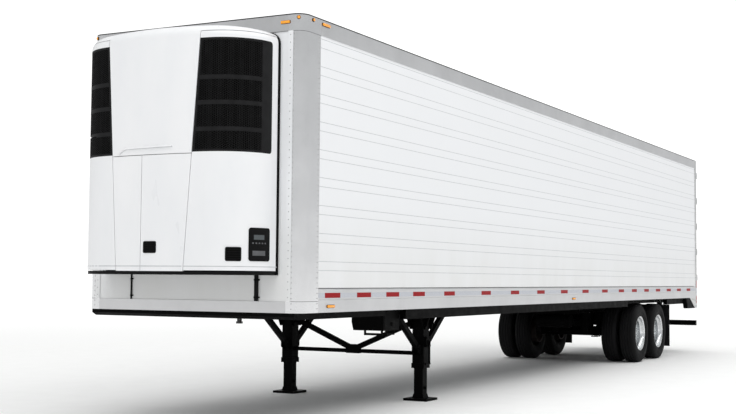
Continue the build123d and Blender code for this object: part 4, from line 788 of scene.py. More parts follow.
# ---------------------------------------------------------------- Rear doors
# Foam-cored doors between aluminium sheets, each with a rubber gasket that laps its outer edge.
# Rivets hold the sheet to the edge frame, and a kick plate guards the foot of the inner face.
GASKET_WIDTH = 0.016
GASKET_RISE = 0.004
GASKET_SUNK = 0.001
RIVET_INSET = 0.012            # from the gasket to the row of rivets
DOOR_RIVET_PITCH = 0.1
KICK_INSET = 0.06
KICK_TALL = 0.30
KICK_THICK = 0.0025
KICK_RIVETS = 9                # in each of its two rows
KICK_RIVET_INSET = (0.03, 0.015)            # from its sides, and from its head and foot
dress(SKIN, "door_left", "door_right")
for side, name in ((1, "left"), (-1, "right")):
    low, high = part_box(f"door_{name}")
    body = f"rear_door_{name}"
    gasket = bmesh.new()
    face = low.x
    for edge_low, edge_high in (
        ((low.y, low.z), (high.y, low.z + GASKET_WIDTH)),
        ((low.y, high.z - GASKET_WIDTH), (high.y, high.z)),
        ((low.y, low.z), (low.y + GASKET_WIDTH, high.z)),
        ((high.y - GASKET_WIDTH, low.z), (high.y, high.z)),
    ):
        add_box(gasket, (face - GASKET_RISE, *edge_low), (face + GASKET_SUNK, *edge_high))
    piece(f"door_gasket_{name}", gasket, SEAL, body, edge=0.0012)
    inset = GASKET_WIDTH + RIVET_INSET
    corners = [(low.y + inset, low.z + inset), (high.y - inset, low.z + inset),
               (high.y - inset, high.z - inset), (low.y + inset, high.z - inset)]
    rows = bmesh.new()
    for at, start in enumerate(corners):
        end = corners[(at + 1) % 4]
        count = round(math.dist(start, end) / DOOR_RIVET_PITCH)
        for number in range(count):
            y, z = (a + number / count * (b - a) for a, b in zip(start, end))
            add_rivet(rows, (face, y, z), (-1, 0, 0))
    piece(f"door_rivets_{name}", rows, SKIN, body)
    kick = bmesh.new()
    kick_face = high.x + KICK_THICK
    kick_low = low.z + KICK_INSET
    kick_high = kick_low + KICK_TALL
    add_box(kick, (high.x, low.y + KICK_INSET, kick_low), (kick_face, high.y - KICK_INSET, kick_high))
    row_inset = KICK_INSET + KICK_RIVET_INSET[0]
    for y in spread(low.y + row_inset, high.y - row_inset, KICK_RIVETS):
        for z in (kick_low + KICK_RIVET_INSET[1], kick_high - KICK_RIVET_INSET[1]):
            add_rivet(kick, (kick_face, y, z), (1, 0, 0))
    piece(f"door_kick_plate_{name}", kick, DECK, body)

# ---------------------------------------------------------------- Door hardware
# Zinc-plated lock rods, guides, cams and straps, with carriage bolts; butts and keepers on the frame.
# Each rod's handle rests in a catch on the door.
dress(PLATED, "door_hardware_left", "door_hardware_right", "door_fittings")
ROD_YS = (0.190, 0.980)
STRAPS = 5                     # hinge straps on each door
STRAP_END = 0.16               # the first and last from the door's ends
STRAP_FACE = 0.008
STRAP_BOLT_YS = (1.005, 1.065, 1.125, 1.175)
GUIDES = 4                     # rod guides on each rod
GUIDE_END = 0.075
GUIDE_FACE = 0.0355
GUIDE_BOLT_HALF = 0.021
HANDLE_REACHES = (0.36, -0.36)              # from each rod to its handle's catch
HANDLE_GRIP = (0.375, 0.425)
CATCH_HALF = 0.030
CATCH_JAWS = ((1.780, 1.797), (1.843, 1.860))
CATCH_OUT = 0.034
CATCH_BACK = (0.003, 0.036, 1.765, 1.875)   # thickness, half width, foot and head
GRIP_OUT = (0.0335, 0.0185)
GRIP_Z = (1.802, 1.838)
for side, name in ((1, "left"), (-1, "right")):
    door_low, door_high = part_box(f"door_{name}")
    body = f"rear_door_{name}"
    bolts = bmesh.new()
    for z in spread(door_low.z + STRAP_END, door_high.z - STRAP_END, STRAPS):
        for y in STRAP_BOLT_YS:
            add_turned(bolts, ((0, 0), (0, 0.009), (0.003, 0.007), (0.0045, 0)),
                       facing((door_low.x - STRAP_FACE, side * y, z), (-1, 0, 0)), 10)
    for y in ROD_YS:
        for z in spread(door_low.z + GUIDE_END, door_high.z - GUIDE_END, GUIDES):
            for across in (-GUIDE_BOLT_HALF, GUIDE_BOLT_HALF):
                add_turned(bolts, ((0, 0), (0, 0.0065), (0.003, 0.005), (0.004, 0)),
                           facing((door_low.x - GUIDE_FACE, side * (y + across), z), (-1, 0, 0)), 8)
    piece(f"hardware_bolts_{name}", bolts, PLATED, body)
    catches = bmesh.new()
    for y, reach in zip(ROD_YS, HANDLE_REACHES):
        mid = side * (y + reach)
        for z_low, z_high in CATCH_JAWS:
            add_box(catches, (door_low.x - CATCH_OUT, mid - CATCH_HALF, z_low),
                    (door_low.x, mid + CATCH_HALF, z_high))
        thick, half, foot, head = CATCH_BACK
        add_box(catches, (door_low.x - thick, mid - half, foot), (door_low.x, mid + half, head))
        grip_in, grip_end = (side * (y + math.copysign(end, reach)) for end in HANDLE_GRIP)
        add_box(catches, (door_low.x - GRIP_OUT[0], grip_in, GRIP_Z[0]),
                (door_low.x - GRIP_OUT[1], grip_end, GRIP_Z[1]))
    piece(f"handle_catches_{name}", catches, PLATED, body, edge=0.002)

# ---------------------------------------------------------------- Coupler plate and kingpin
# Flat enamelled steel plate under the nose with a forged pin, machined where the jaws close on it.
# The pin's steel is grey, with turning lines round it and a smear of old grease.
FORGED = mottled("forged_steel", {"Metallic": 0.9}, ((30.0, 30.0, 30.0), 4.0),
                 ((0.35, "2C2927"), (0.65, "58585A")), (0.5, 0.3),
                 grain=((30.0, 30.0, 900.0), 3.0), relief=(0.0001, 0.6))
dress(FORGED, "kingpin")

# ---------------------------------------------------------------- Landing gear
# Black enamelled square legs in bolted wing plates, with tubular braces and flat feet on flared sockets.
# Bolts go through the wings, and a pin holds each foot.
dress(BLACK, "landing_legs", "landing_gear_braces", "landing_gear_crank")
legs_low, legs_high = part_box("landing_legs")
LEG_Y = 0.920
LEG_HALF = 0.075
WING_OUT = LEG_HALF + 0.012
# Bolts in rows: distances from the leg's middle, heights, and width across flats.
WING_BOLTS = (((-0.155, -0.105, 0.105, 0.155), (1.030, 1.085), 0.024),
              ((-0.100, 0.100), (0.905, 0.955), 0.022))
PLATE_BOLTS = ((-0.130, 0.130), (1.015, 1.080), 0.024)
PIN = (0.059, 0.150, 0.030)    # the foot's pin: out of the leg's middle, height, size
BRACE_BOLT = (0.650, 0.030, 1.055, 0.022)    # at each brace's far end: along, out, height, size
TAB_HALF = 0.037               # the two tabs that hold a brace's foot, from its middle
TAB_THICK = 0.008
TAB_SHAPE = ((0, 0.535), (0.085, 0.590), (0.085, 0.660), (0, 0.680))
TAB_BOLT = (0.052, 0.618, 0.020)
GEARBOX_OUT = 0.030
GEARBOX_BOLTS = ((-0.045, 0.045), (0.655, 0.745), 0.013)
GEARBOX_Z = 0.700
leg_x = (legs_low.x + legs_high.x) / 2
gear = bmesh.new()
tabs = bmesh.new()
for side in (-1, 1):
    leg_y = side * LEG_Y
    for way in (-1, 1):
        for xs, zs, size in WING_BOLTS:
            for x in xs:
                for z in zs:
                    add_bolt(gear, (leg_x + x, leg_y + way * WING_OUT, z), (0, way, 0), size)
        add_bolt(gear, (leg_x, leg_y + way * PIN[0], PIN[1]), (0, way, 0), PIN[2])
        for y in PLATE_BOLTS[0]:
            for z in PLATE_BOLTS[1]:
                add_bolt(gear, (leg_x + way * WING_OUT, leg_y + y, z), (way, 0, 0), PLATE_BOLTS[2])
        along, out, z, size = BRACE_BOLT
        x = leg_x + way * LEG_HALF
        for face in (-1, 1):
            add_bolt(gear, (leg_x + way * along, leg_y + face * out, z), (0, face, 0), size)
            tab_y = leg_y + face * TAB_HALF - TAB_THICK / 2
            add_prism(tabs, [(x + way * reach, tab_y, up) for reach, up in TAB_SHAPE], (0, TAB_THICK, 0))
            add_bolt(tabs, (x + way * TAB_BOLT[0], leg_y + face * (TAB_HALF + TAB_THICK / 2), TAB_BOLT[1]),
                     (0, face, 0), TAB_BOLT[2])
piece("landing_gear_bolts", gear, BLACK)
piece("brace_tabs", tabs, BLACK)
caps = bmesh.new()
box_face = LEG_Y + LEG_HALF + GEARBOX_OUT
for x in GEARBOX_BOLTS[0]:
    for z in GEARBOX_BOLTS[1]:
        add_bolt(caps, (leg_x + x, box_face, z), (0, 1, 0), GEARBOX_BOLTS[2])
add_turned(caps, ((0, 0), (0, 0.032), (0.008, 0.028), (0.012, 0)),
           facing((leg_x, box_face, GEARBOX_Z), (0, 1, 0)), 20)
piece("gearbox_bolts", caps, BLACK)

# ---------------------------------------------------------------- Equipment box
# Folded sheet steel box in black enamel. Its lid, on the outer face, stands 3 mm proud, turns on two
# barrel hinges at its head and is held by a latch near its foot.
dress(BLACK, "equipment_box")
box_low, box_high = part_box("equipment_box")
LID_INSET = 0.020
LID_TALL = 0.235
LID_THICK = 0.003
HINGE_INSET = 0.08
HINGE_HALF = 0.03
HINGE_RADIUS = 0.006
HINGE_DROP = 0.024
LATCH_RISE = 0.05              # above the lid's foot
lid = bmesh.new()
lid_bottom = box_high.z - LID_TALL + LID_INSET
lid_face = box_high.y + LID_THICK
add_box(lid, (box_low.x + LID_INSET, box_high.y, lid_bottom),
        (box_high.x - LID_INSET, lid_face, box_high.z - LID_INSET))
hinge_y, hinge_z = box_high.y + HINGE_RADIUS, box_high.z - HINGE_DROP
for x in (box_low.x + HINGE_INSET, box_high.x - HINGE_INSET):
    add_rod(lid, (x - HINGE_HALF, hinge_y, hinge_z), (x + HINGE_HALF, hinge_y, hinge_z), HINGE_RADIUS)
mid = (box_low.x + box_high.x) / 2
latch_z = lid_bottom + LATCH_RISE
add_button(lid, facing((mid, lid_face, latch_z), (0, 1, 0)), 0.022, 0.006, 20, inset=0.002)
add_box(lid, (mid - 0.004, lid_face + 0.005, latch_z - 0.02), (mid + 0.004, lid_face + 0.013, latch_z + 0.02))
piece("equipment_box_lid", lid, BLACK, edge=0.0015)

# ---------------------------------------------------------------- Body rails, side channels and slider
# Rolled steel rails under the floor, punched every 150 mm for the slider's locking pins.
# The slider hangs below them, with its pins, pull handle and stops.
dress(BLACK, "body_rails", "slider_frame")
rails_low, rails_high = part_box("body_rails")
slider_low, slider_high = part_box("slider_frame")
RAIL_OUT = 0.440 + 0.045       # the rail's middle, and its outer face from there
HOLE_RADIUS = 0.024
HOLES = 38
HOLE_PITCH = 0.15
HOLE_START = -7.91
holes = bmesh.new()
rims = bmesh.new()
for side in (-1, 1):
    for number in range(HOLES):
        x = HOLE_START + number * HOLE_PITCH
        spot = facing((x, side * RAIL_OUT, (rails_low.z + rails_high.z) / 2), (0, side, 0))
        # Each hole is a thin disc in painted shade, with a raised rim round it.
        add_button(holes, spot, HOLE_RADIUS, 0.0006, 20)
        add_turned(rims, [(rise, HOLE_RADIUS + out) for rise, out in (
            (0, 0), (0.0016, 0.0008), (0.0016, 0.003), (0, 0.004))], spot, 20, closed=True)
# Painted shade: a near-black, nearly matt finish that stands in for the dark inside of punched holes, vents
# and grille cells.
PAINTED_SHADE = mottled("painted_hole_shade", {"Specular IOR Level": 0.1}, ((60.0, 60.0, 60.0), 3.0),
              ((0.3, "020202"), (0.8, "070706")), (0.8, 0.95))
piece("pin_hole_shades", holes, PAINTED_SHADE)
piece("pin_hole_rims", rims, BLACK)
AXLE_XS = [NOSE_X - 11.900, NOSE_X - 13.145]
HANGER_AHEAD = 0.520           # each hanger ahead of its axle
PIVOT_Z = 0.560
HANGER_BOLTS = ((-0.065, 0.065), (0.70, 0.80))
LOCK_PIN_XS = (AXLE_XS[0] + 1.02, AXLE_XS[0] + 0.72, AXLE_XS[1] - 0.62, AXLE_XS[1] - 0.90)
LOCK_PIN = (0.30, 0.03, 0.045, 0.016)        # inner end, past the slider, below its top, radius
SLIDER_BOLTS = 14
SLIDER_BOLT_INSET = 0.10
SLIDER_BOLT_DROP = 0.095
slider_bits = bmesh.new()
for side in (-1, 1):
    out = side * slider_high.y
    for axle_x in AXLE_XS:
        x = axle_x + HANGER_AHEAD
        add_bolt(slider_bits, (x, out, PIVOT_Z), (0, side, 0), 0.050)
        for dx in HANGER_BOLTS[0]:
            for z in HANGER_BOLTS[1]:
                add_bolt(slider_bits, (x + dx, out, z), (0, side, 0), 0.022)
    inner, past, drop, radius = LOCK_PIN
    for x in LOCK_PIN_XS:
        z = slider_high.z - drop
        add_rod(slider_bits, (x, side * inner, z), (x, side * (slider_high.y + past), z), radius)
    for x in spread(slider_low.x + SLIDER_BOLT_INSET, slider_high.x - SLIDER_BOLT_INSET, SLIDER_BOLTS):
        add_bolt(slider_bits, (x, out, slider_high.z - SLIDER_BOLT_DROP), (0, side, 0), 0.018)
piece("slider_bolts_and_pins", slider_bits, BLACK)

# ---------------------------------------------------------------- Air-ride suspension and tanks
# Cast trailing arms on pivot bolts, rubber bellows between steel bead plates, and tubular axles.
# Shock absorbers, U-bolts and brake chamber clamps are steel in black enamel.
def rubber(name, light, dark):
    """Vulcanised rubber: matt, finely grained, and a little greyer where dust has settled."""
    return mottled(name, {"Specular IOR Level": 0.12}, ((9.0, 9.0, 9.0), 5.0, 0.6),
                   ((0.3, dark), (0.75, light)), (0.62, 0.86),
                   grain=((700.0, 700.0, 700.0), 3.0), relief=(0.00015, 0.7))


BELLOWS = rubber("bellows_rubber", "141415", "0D0D0E")
dress(BLACK, "trailing_arms", "axles", "air_tanks")
dress(BELLOWS, "air_springs")
ARM_Y = 0.440
SPRING_BACK = 0.330
AXLE_Z = 0.515
AXLE_RADIUS = 0.0635
BEAD_PLATES = (0.118, 0.008, 0.100, 0.012)   # radius and thickness of the upper and the lower
BELLOWS_RINGS = ((0.38, 0.116), (0.68, 0.141), (0.87, 0.134))    # share of its height, radius
U_BOLT = (0.075, 0.045, 0.110, 0.010)        # half its pitch along and across, rise, radius
SEAT = (0.02, 0.06, 0.085, 0.015)            # half its length and width, drop, thickness
DAMPER_FOOT = (-0.085, 0.335, 0.02)          # from the axle
DAMPER_HEAD = (-0.190, 0.335, -0.150)        # from the axle, and from the slider's top
DAMPER_SHARE = 0.48            # of its length that the thinner tube takes
DAMPER_RADII = (0.026, 0.033)
DAMPER_EYE = 0.03
CHAMBER_Y = 0.285
CHAMBER_BANDS = (0.055, 0.125)
CAM_ROD = (-0.05, 0.30, 0.62, 0.040, 0.019)  # behind the axle, inner and outer end, above it, radius
spring_low, spring_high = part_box("air_springs")
undercarriage = bmesh.new()
bands = bmesh.new()
for x in AXLE_XS:
    for side in (-1, 1):
        spring = (x - SPRING_BACK, side * ARM_Y)
        head_radius, head_thick, foot_radius, foot_thick = BEAD_PLATES
        for z, radius, thick in ((spring_high.z - head_thick, head_radius, head_thick),
                                 (spring_low.z, foot_radius, foot_thick)):
            add_button(undercarriage, Matrix.Translation((*spring, z)), radius, thick, 32)
        for share, radius in BELLOWS_RINGS:
            z = spring_low.z + share * (spring_high.z - spring_low.z)
            add_turned(bands, ((-0.006, radius), (0, radius + 0.004), (0.006, radius)),
                       Matrix.Translation((*spring, z)), 40)
        half_pitch, half_across, rise, radius = U_BOLT
        half_long, half_wide, drop, thick = SEAT
        seat_z = AXLE_Z - drop
        for dx in (-half_pitch, half_pitch):
            for y in (ARM_Y - half_across, ARM_Y + half_across):
                start, end = (x + dx, side * y, seat_z), (x + dx, side * y, AXLE_Z + rise)
                add_rod(undercarriage, start, end, radius, 10)
            add_box(undercarriage, (x + dx - half_long, side * (ARM_Y - half_wide), seat_z),
                    (x + dx + half_long, side * (ARM_Y + half_wide), seat_z + thick))
        # Shock absorber, from the axle's rear to the slider.
        foot = Vector((x + DAMPER_FOOT[0], side * DAMPER_FOOT[1], AXLE_Z + DAMPER_FOOT[2]))
        head = Vector((x + DAMPER_HEAD[0], side * DAMPER_HEAD[1], slider_high.z + DAMPER_HEAD[2]))
        middle = foot.lerp(head, DAMPER_SHARE)
        eye_half = Vector((0, DAMPER_EYE, 0))
        add_rod(undercarriage, foot, middle, DAMPER_RADII[0], 18)
        add_rod(undercarriage, middle, head, DAMPER_RADII[1], 18)
        for eye in (foot, head):
            add_rod(undercarriage, eye - eye_half, eye + eye_half, DAMPER_RADII[0], 16)
        for along in CHAMBER_BANDS:
            spot = facing((x + along, side * CHAMBER_Y, AXLE_Z + AXLE_RADIUS), (1, 0, 0))
            add_band(undercarriage, spot, 0.079, 0.088, 0.008, 28)
        back, inner, outer, up, radius = CAM_ROD
        add_rod(undercarriage, (x + back, side * inner, AXLE_Z + up), (x + back, side * outer, AXLE_Z + up),
                radius, 14)
piece("suspension_fittings", undercarriage, BLACK, edge=0.0012)
piece("bellows_rings", bands, BELLOWS)
tank_low, tank_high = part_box("air_tanks")
TANK_RADIUS = 0.115
TANK_HALF = 0.305
STRAP_INSET = 0.105            # from the tank's ends
STRAP_HALF = 0.015
STRAP_THICK = 0.003
straps = bmesh.new()
for x in (tank_high.x - TANK_RADIUS, tank_low.x + TANK_RADIUS):
    z = tank_low.z + TANK_RADIUS
    for side in (-1, 1):
        spot = facing((x, side * (TANK_HALF - STRAP_INSET), z), (0, 1, 0))
        add_band(straps, spot, TANK_RADIUS, TANK_RADIUS + STRAP_THICK, STRAP_HALF, 36)
        add_turned(straps, ((0, 0), (0, 0.092), (0.008, 0.086), (0.014, 0)),
                   facing((x, side * TANK_HALF, z), (0, side, 0)), 36)
    add_bolt(straps, (x, 0.0, z - TANK_RADIUS), (0, 0, -1), 0.020)
piece("tank_straps", straps, BLACK)

# ---------------------------------------------------------------- Tyres
# Steel-belted radials, 1.03 m across: four grooves round a ribbed tread, sipes on the shoulders,
# and raised bands on the sidewalls. They are moulded rubber, lightly dusted.
TYRE = rubber("tyre_rubber", "19191A", "101011")
DUAL_Y = 0.984
PAIR_HALF = 0.165
TYRE_STEPS = 108
GROOVE_DEPTH = 0.012
GROOVE_HALF = 0.005
GROOVES = (0.026, 0.072)       # their distances from the tyre's middle
CROWN = 0.5148                 # radius at the middle of the tread
CROWN_FALL = 0.35
BEAD_INNER = (0.085, 0.2865)   # half width and radius inside the bead
SHOULDER = (0.094, 0.121, 0.490)             # sipes lie between these widths and above this radius
SIPE_DEPTH = 0.0035
SIPE_EVERY = 3


def tyre_rows():
    """(across, radius) round one tyre's section, from one bead over the tread to the other."""
    side = [(0.1000, 0.2865), (0.1045, 0.3060), (0.1110, 0.3120), (0.1200, 0.3300), (0.1225, 0.3340),
            (0.1245, 0.3345), (0.1310, 0.3600), (0.1365, 0.3850), (0.1385, 0.3880), (0.1385, 0.3930),
            (0.1375, 0.3960), (0.1385, 0.4080), (0.1375, 0.4250), (0.1345, 0.4450), (0.1315, 0.4600),
            (0.1335, 0.4640), (0.1290, 0.4800), (0.1190, 0.4960), (0.1080, 0.5060), (0.0980, 0.5090)]
    tread = []
    for middle in sorted(GROOVES, reverse=True):
        crown = CROWN - CROWN_FALL * middle ** 2
        tread += [(middle + GROOVE_HALF + 0.001, crown), (middle + GROOVE_HALF / 2, crown - GROOVE_DEPTH),
                  (middle - GROOVE_HALF / 2, crown - GROOVE_DEPTH), (middle - GROOVE_HALF - 0.001, crown)]
    half = side + tread + [(0.0, CROWN)]
    return half + [(-across, radius) for across, radius in half[-2::-1]]


def add_tyre(form, place):
    """One tyre round place's z axis, with sipes cut across its shoulders."""
    rings = []
    half, bead = BEAD_INNER
    narrow, wide, foot = SHOULDER
    for across, radius in tyre_rows() + [(-half, bead), (half, bead)]:
        siped = narrow < abs(across) < wide and radius > foot
        ring = []
        for step in range(TYRE_STEPS):
            turn = 2 * math.pi * step / TYRE_STEPS
            reach = radius - (SIPE_DEPTH if siped and step % SIPE_EVERY == 0 else 0.0)
            point = Vector((reach * math.cos(turn), reach * math.sin(turn), across))
            ring.append(form.verts.new(place @ point))
        rings.append(ring)
    rings.append(rings[0])
    for low, high in zip(rings, rings[1:]):
        for step in range(TYRE_STEPS):
            after = (step + 1) % TYRE_STEPS
            form.faces.new((low[step], low[after], high[after], high[step]))


# ---------------------------------------------------------------- Wheels
# Disc wheels dished outward, with ten hand holes and ten flanged nuts: polished forged aluminium outside,
# and enamelled steel inside, where they don't show.
# Behind them sit the hub with its oil cap and the cast brake drum.
HAND_HOLES = 10
HAND_RADIUS = 0.0285
HAND_CIRCLE = 0.190
NUT_CIRCLE = 0.143
NUT_SEAT = 0.0225              # out of the mounting face
RIM_STEPS = 80
HUB_BOLTS = (6, 0.068, 0.121)  # count, circle, distance out of the mounting face
# Each row gives a distance out of the mounting face and a radius.
HUB_ROWS = ((0.001, 0.0), (0.001, 0.0855), (0.104, 0.0800), (0.112, 0.0780), (0.120, 0.0700),
            (0.136, 0.0630), (0.140, 0.0560), (0.140, 0.0))
DRUM_ROWS = ((-0.344, 0.195), (-0.344, 0.215), (-0.336, 0.217), (-0.325, 0.2145), (-0.200, 0.2145),
             (-0.190, 0.217), (-0.180, 0.2145), (-0.110, 0.2130), (-0.1045, 0.205), (-0.1045, 0.130),
             (-0.045, 0.128), (-0.045, 0.165), (-0.001, 0.165), (-0.001, 0.092), (-0.001, 0.050),
             (-0.125, 0.050), (-0.125, 0.195))


# Polished forged aluminium: bright, with faint turning rings and a little brake dust in the dish.
ALLOY = mottled("polished_forged_aluminium", {"Metallic": 1.0}, ((14.0, 14.0, 14.0), 4.0, 0.6),
                ((0.3, "C4C6C8"), (0.6, "E0E2E3")), (0.24, 0.14),
                grain=((9.0, 320.0, 9.0), 2.0), relief=(0.00008, 0.4))
# Brake drum and hub: grey cast iron, sand-grained, browned by heat.
CAST = mottled("cast_iron", {"Metallic": 0.5}, ((7.0, 7.0, 7.0), 4.0),
               ((0.35, "2A2625"), (0.75, "47403C")), (0.6, 0.8),
               grain=((300.0, 300.0, 300.0), 3.0), relief=(0.0003, 0.7))


def add_wheel(form, place, way):
    """One rim with hand holes cut through its disc. place's z axis points outboard from the mounting face."""
    out = PAIR_HALF
    front = [
        (out + 0.1165, 0.304), (out + 0.1165, 0.297), (out + 0.109, 0.287), (out + 0.100, 0.2775),
        (out + 0.072, 0.2725), (out + 0.058, 0.264), (out + 0.044, 0.2475), (out - 0.040, 0.2420),
        (out - 0.080, 0.2400), (out - 0.104, 0.2320), (out - 0.122, 0.2180), (out - 0.1345, 0.2020),
        (out - 0.1395, 0.186), (out - 0.142, 0.172), (out - 0.143, 0.162), (out - 0.143, 0.088),
    ]
    back = [
        (0.001, 0.088), (0.001, 0.200), (0.010, 0.220), (out - 0.118, 0.246), (out - 0.100, 0.262),
        (out - 0.075, 0.278), (out - 0.060, 0.2835), (out + 0.060, 0.2840), (out + 0.1035, 0.2860),
        (out + 0.1055, 0.304),
    ]
    rows = [(way * across, radius) for across, radius in front + back]
    add_turned(form, rows, place, RIM_STEPS, closed=True)


def add_flange(form, place, way):
    """The rim's other flange, on the side of the tyre that faces the pair's middle."""
    out = PAIR_HALF
    rows = [(out - 0.118, 0.256), (out - 0.100, 0.262), (out - 0.1035, 0.2860), (out - 0.1055, 0.304),
            (out - 0.1165, 0.304), (out - 0.1165, 0.290)]
    add_turned(form, [(way * across, radius) for across, radius in rows], place, RIM_STEPS, closed=True)


def add_drilled(form, blank, place):
    """Adds a blank wheel with its hand holes cut through."""
    solid = bpy.data.meshes.new("wheel_blank")
    bmesh.ops.recalc_face_normals(blank, faces=blank.faces)
    blank.to_mesh(solid)
    blank.free()
    cutters = bmesh.new()
    for spot in around(place, HAND_HOLES, HAND_CIRCLE, start=0.5):
        add_turned(cutters, ((-0.09, 0), (-0.09, HAND_RADIUS), (0.09, HAND_RADIUS), (0.09, 0)), spot, 20)
    bmesh.ops.recalc_face_normals(cutters, faces=cutters.faces)
    drill = bpy.data.meshes.new("hand_hole_cutters")
    cutters.to_mesh(drill)
    cutters.free()
    wheel = link_object("wheel_blank", solid)
    tool = link_object("hand_hole_cutters", drill)
    cut = wheel.modifiers.new("hand_holes", "BOOLEAN")
    cut.object = tool
    cut.operation = "DIFFERENCE"
    cut.solver = "EXACT"
    bpy.context.view_layer.update()
    drilled = wheel.evaluated_get(bpy.context.evaluated_depsgraph_get())
    form.from_mesh(bpy.data.meshes.new_from_object(drilled))
    for spare in (wheel, tool):
        bpy.data.objects.remove(spare)


for end, axle_x in zip(("front", "rear"), AXLE_XS):
    for side, name in ((1, "left"), (-1, "right")):
        body = f"dual_{end}_{name}"
        mount = facing((axle_x, side * DUAL_Y, AXLE_Z), (0, side, 0))
        rubber_pair = bmesh.new()
        for across in (-PAIR_HALF, PAIR_HALF):
            add_tyre(rubber_pair, mount @ Matrix.Translation((0, 0, across)))
        tyres = piece(f"tyre_pair_{end}_{name}", rubber_pair, TYRE, body, sharp=30.0)
        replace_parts(tyres, f"tyres_{end}_{name}")
        rim_pair = bmesh.new()
        inner_rim = bmesh.new()
        for way, rim_form in ((-1, inner_rim), (1, rim_pair)):
            blank = bmesh.new()
            add_wheel(blank, mount, way)
            add_drilled(rim_form, blank, mount)
            add_flange(rim_form, mount, way)
        for spot in around(mount, HAND_HOLES, NUT_CIRCLE, NUT_SEAT):
            add_button(rim_pair, spot, 0.0235, 0.005, 20, inset=0.001)
            add_turned(rim_pair, ((0.005, 0), (0.005, 0.019), (0.024, 0.019), (0.027, 0.016), (0.027, 0)),
                       spot, 6)
            add_turned(rim_pair, ((0.027, 0), (0.027, 0.011), (0.040, 0.011), (0.041, 0.009), (0.041, 0)),
                       spot, 14)
        add_turned(rim_pair, HUB_ROWS, mount, 48)
        for spot in around(mount, *HUB_BOLTS):
            add_turned(rim_pair, ((-0.002, 0), (-0.002, 0.0065), (0.005, 0.0065), (0.005, 0)), spot, 6)
        rims = piece(f"rim_pair_{end}_{name}", rim_pair, ALLOY, body, sharp=32.0)
        piece(f"inner_rim_{end}_{name}", inner_rim, BLACK, body, sharp=32.0)
        drum = bmesh.new()
        add_turned(drum, DRUM_ROWS, mount, 64, closed=True)
        piece(f"drum_{end}_{name}", drum, CAST, body, sharp=32.0)
        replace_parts(rims, f"wheels_{end}_{name}")

# ---------------------------------------------------------------- Mud flaps
# Rubber sheets with ribs moulded in both faces, which hang behind the wheels.
# A plated steel bar with five bolts clamps each one's head.
FLAP = rubber("flap_rubber", "19191A", "101011")
dress(FLAP, "mud_flaps")
FLAP_HALF = 0.305
FLAP_THICK = 0.010
FLAP_RIBS = 12
FLAP_RIB_INSET = 0.03          # from the flap's sides and its foot
FLAP_RIB_TALL = 0.68
FLAP_RIB_RISE = 0.003
FLAP_RIB_SECTION = ((0, -0.008), (1, -0.004), (1, 0.004), (0, 0.008))   # share of its rise, across
CLAMP_THICK = 0.006
CLAMP_INSET = 0.01
CLAMP_DROPS = (0.045, 0.025, 0.005)          # its foot, bolts and head below the flap's top
CLAMP_BOLTS = 5
CLAMP_BOLT_INSET = 0.05
flap_low, flap_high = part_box("mud_flaps")
for side, name in ((1, "left"), (-1, "right")):
    ribs = bmesh.new()
    inner, outer = DUAL_Y - FLAP_HALF, DUAL_Y + FLAP_HALF
    rib_foot = flap_low.z + FLAP_RIB_INSET
    for y in spread(inner + FLAP_RIB_INSET, outer - FLAP_RIB_INSET, FLAP_RIBS):
        for face, out in ((flap_low.x, -FLAP_RIB_RISE), (flap_low.x + FLAP_THICK, FLAP_RIB_RISE)):
            corners = [(face + share * out, side * y + across, rib_foot)
                       for share, across in FLAP_RIB_SECTION]
            add_prism(ribs, corners, (0, 0, FLAP_RIB_TALL))
    piece(f"flap_ribs_{name}", ribs, FLAP)
    clamp = bmesh.new()
    clamp_face = flap_low.x - CLAMP_THICK
    foot, middle, head = (flap_high.z - drop for drop in CLAMP_DROPS)
    add_box(clamp, (clamp_face, side * (inner + CLAMP_INSET), foot),
            (flap_low.x, side * (outer - CLAMP_INSET), head))
    for y in spread(inner + CLAMP_BOLT_INSET, outer - CLAMP_BOLT_INSET, CLAMP_BOLTS):
        add_bolt(clamp, (clamp_face, side * y, middle), (-1, 0, 0), 0.013)
    piece(f"flap_clamp_{name}", clamp, PLATED, edge=0.001)

# ---------------------------------------------------------------- Underride guard
# Square steel bar on two uprights below the sill, in black enamel. Bolts and gussets hold the uprights,
# and striped reflective film marks the bar's rear face.
dress(BLACK, "underride_guard")
guard_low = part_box("underride_guard")[0]
STRIPES = 10
STRIPE = 0.25
STRIPE_RISE = 0.028            # above the bar's lower edge
UPRIGHT_YS = (0.49, 0.55)      # bolts on each upright
UPRIGHT_ZS = (0.67, 0.94)
GUSSET_YS = (0.475, 0.565)
GUSSET_ZS = ((0.64, 0.72), (0.93, 1.00))
GUSSET_BACK = 0.1              # ahead of the bar's rear face
GUSSET_THICK = 0.006
tapes = {"red": bmesh.new(), "silver": bmesh.new()}
add_stripes(guard_low.x, guard_low.z + STRIPE_RISE, STRIPE, STRIPES)
piece("guard_tape_red", tapes["red"], TAPE_RED)
piece("guard_tape_silver", tapes["silver"], TAPE_SILVER)
guard_bits = bmesh.new()
for side in (-1, 1):
    for y in UPRIGHT_YS:
        for z in UPRIGHT_ZS:
            add_bolt(guard_bits, (guard_low.x, side * y, z), (-1, 0, 0), 0.020)
    for z_low, z_high in GUSSET_ZS:
        add_box(guard_bits, (guard_low.x + GUSSET_BACK, side * GUSSET_YS[0], z_low),
                (guard_low.x + GUSSET_BACK + GUSSET_THICK, side * GUSSET_YS[1], z_high))
piece("guard_bolts", guard_bits, BLACK)

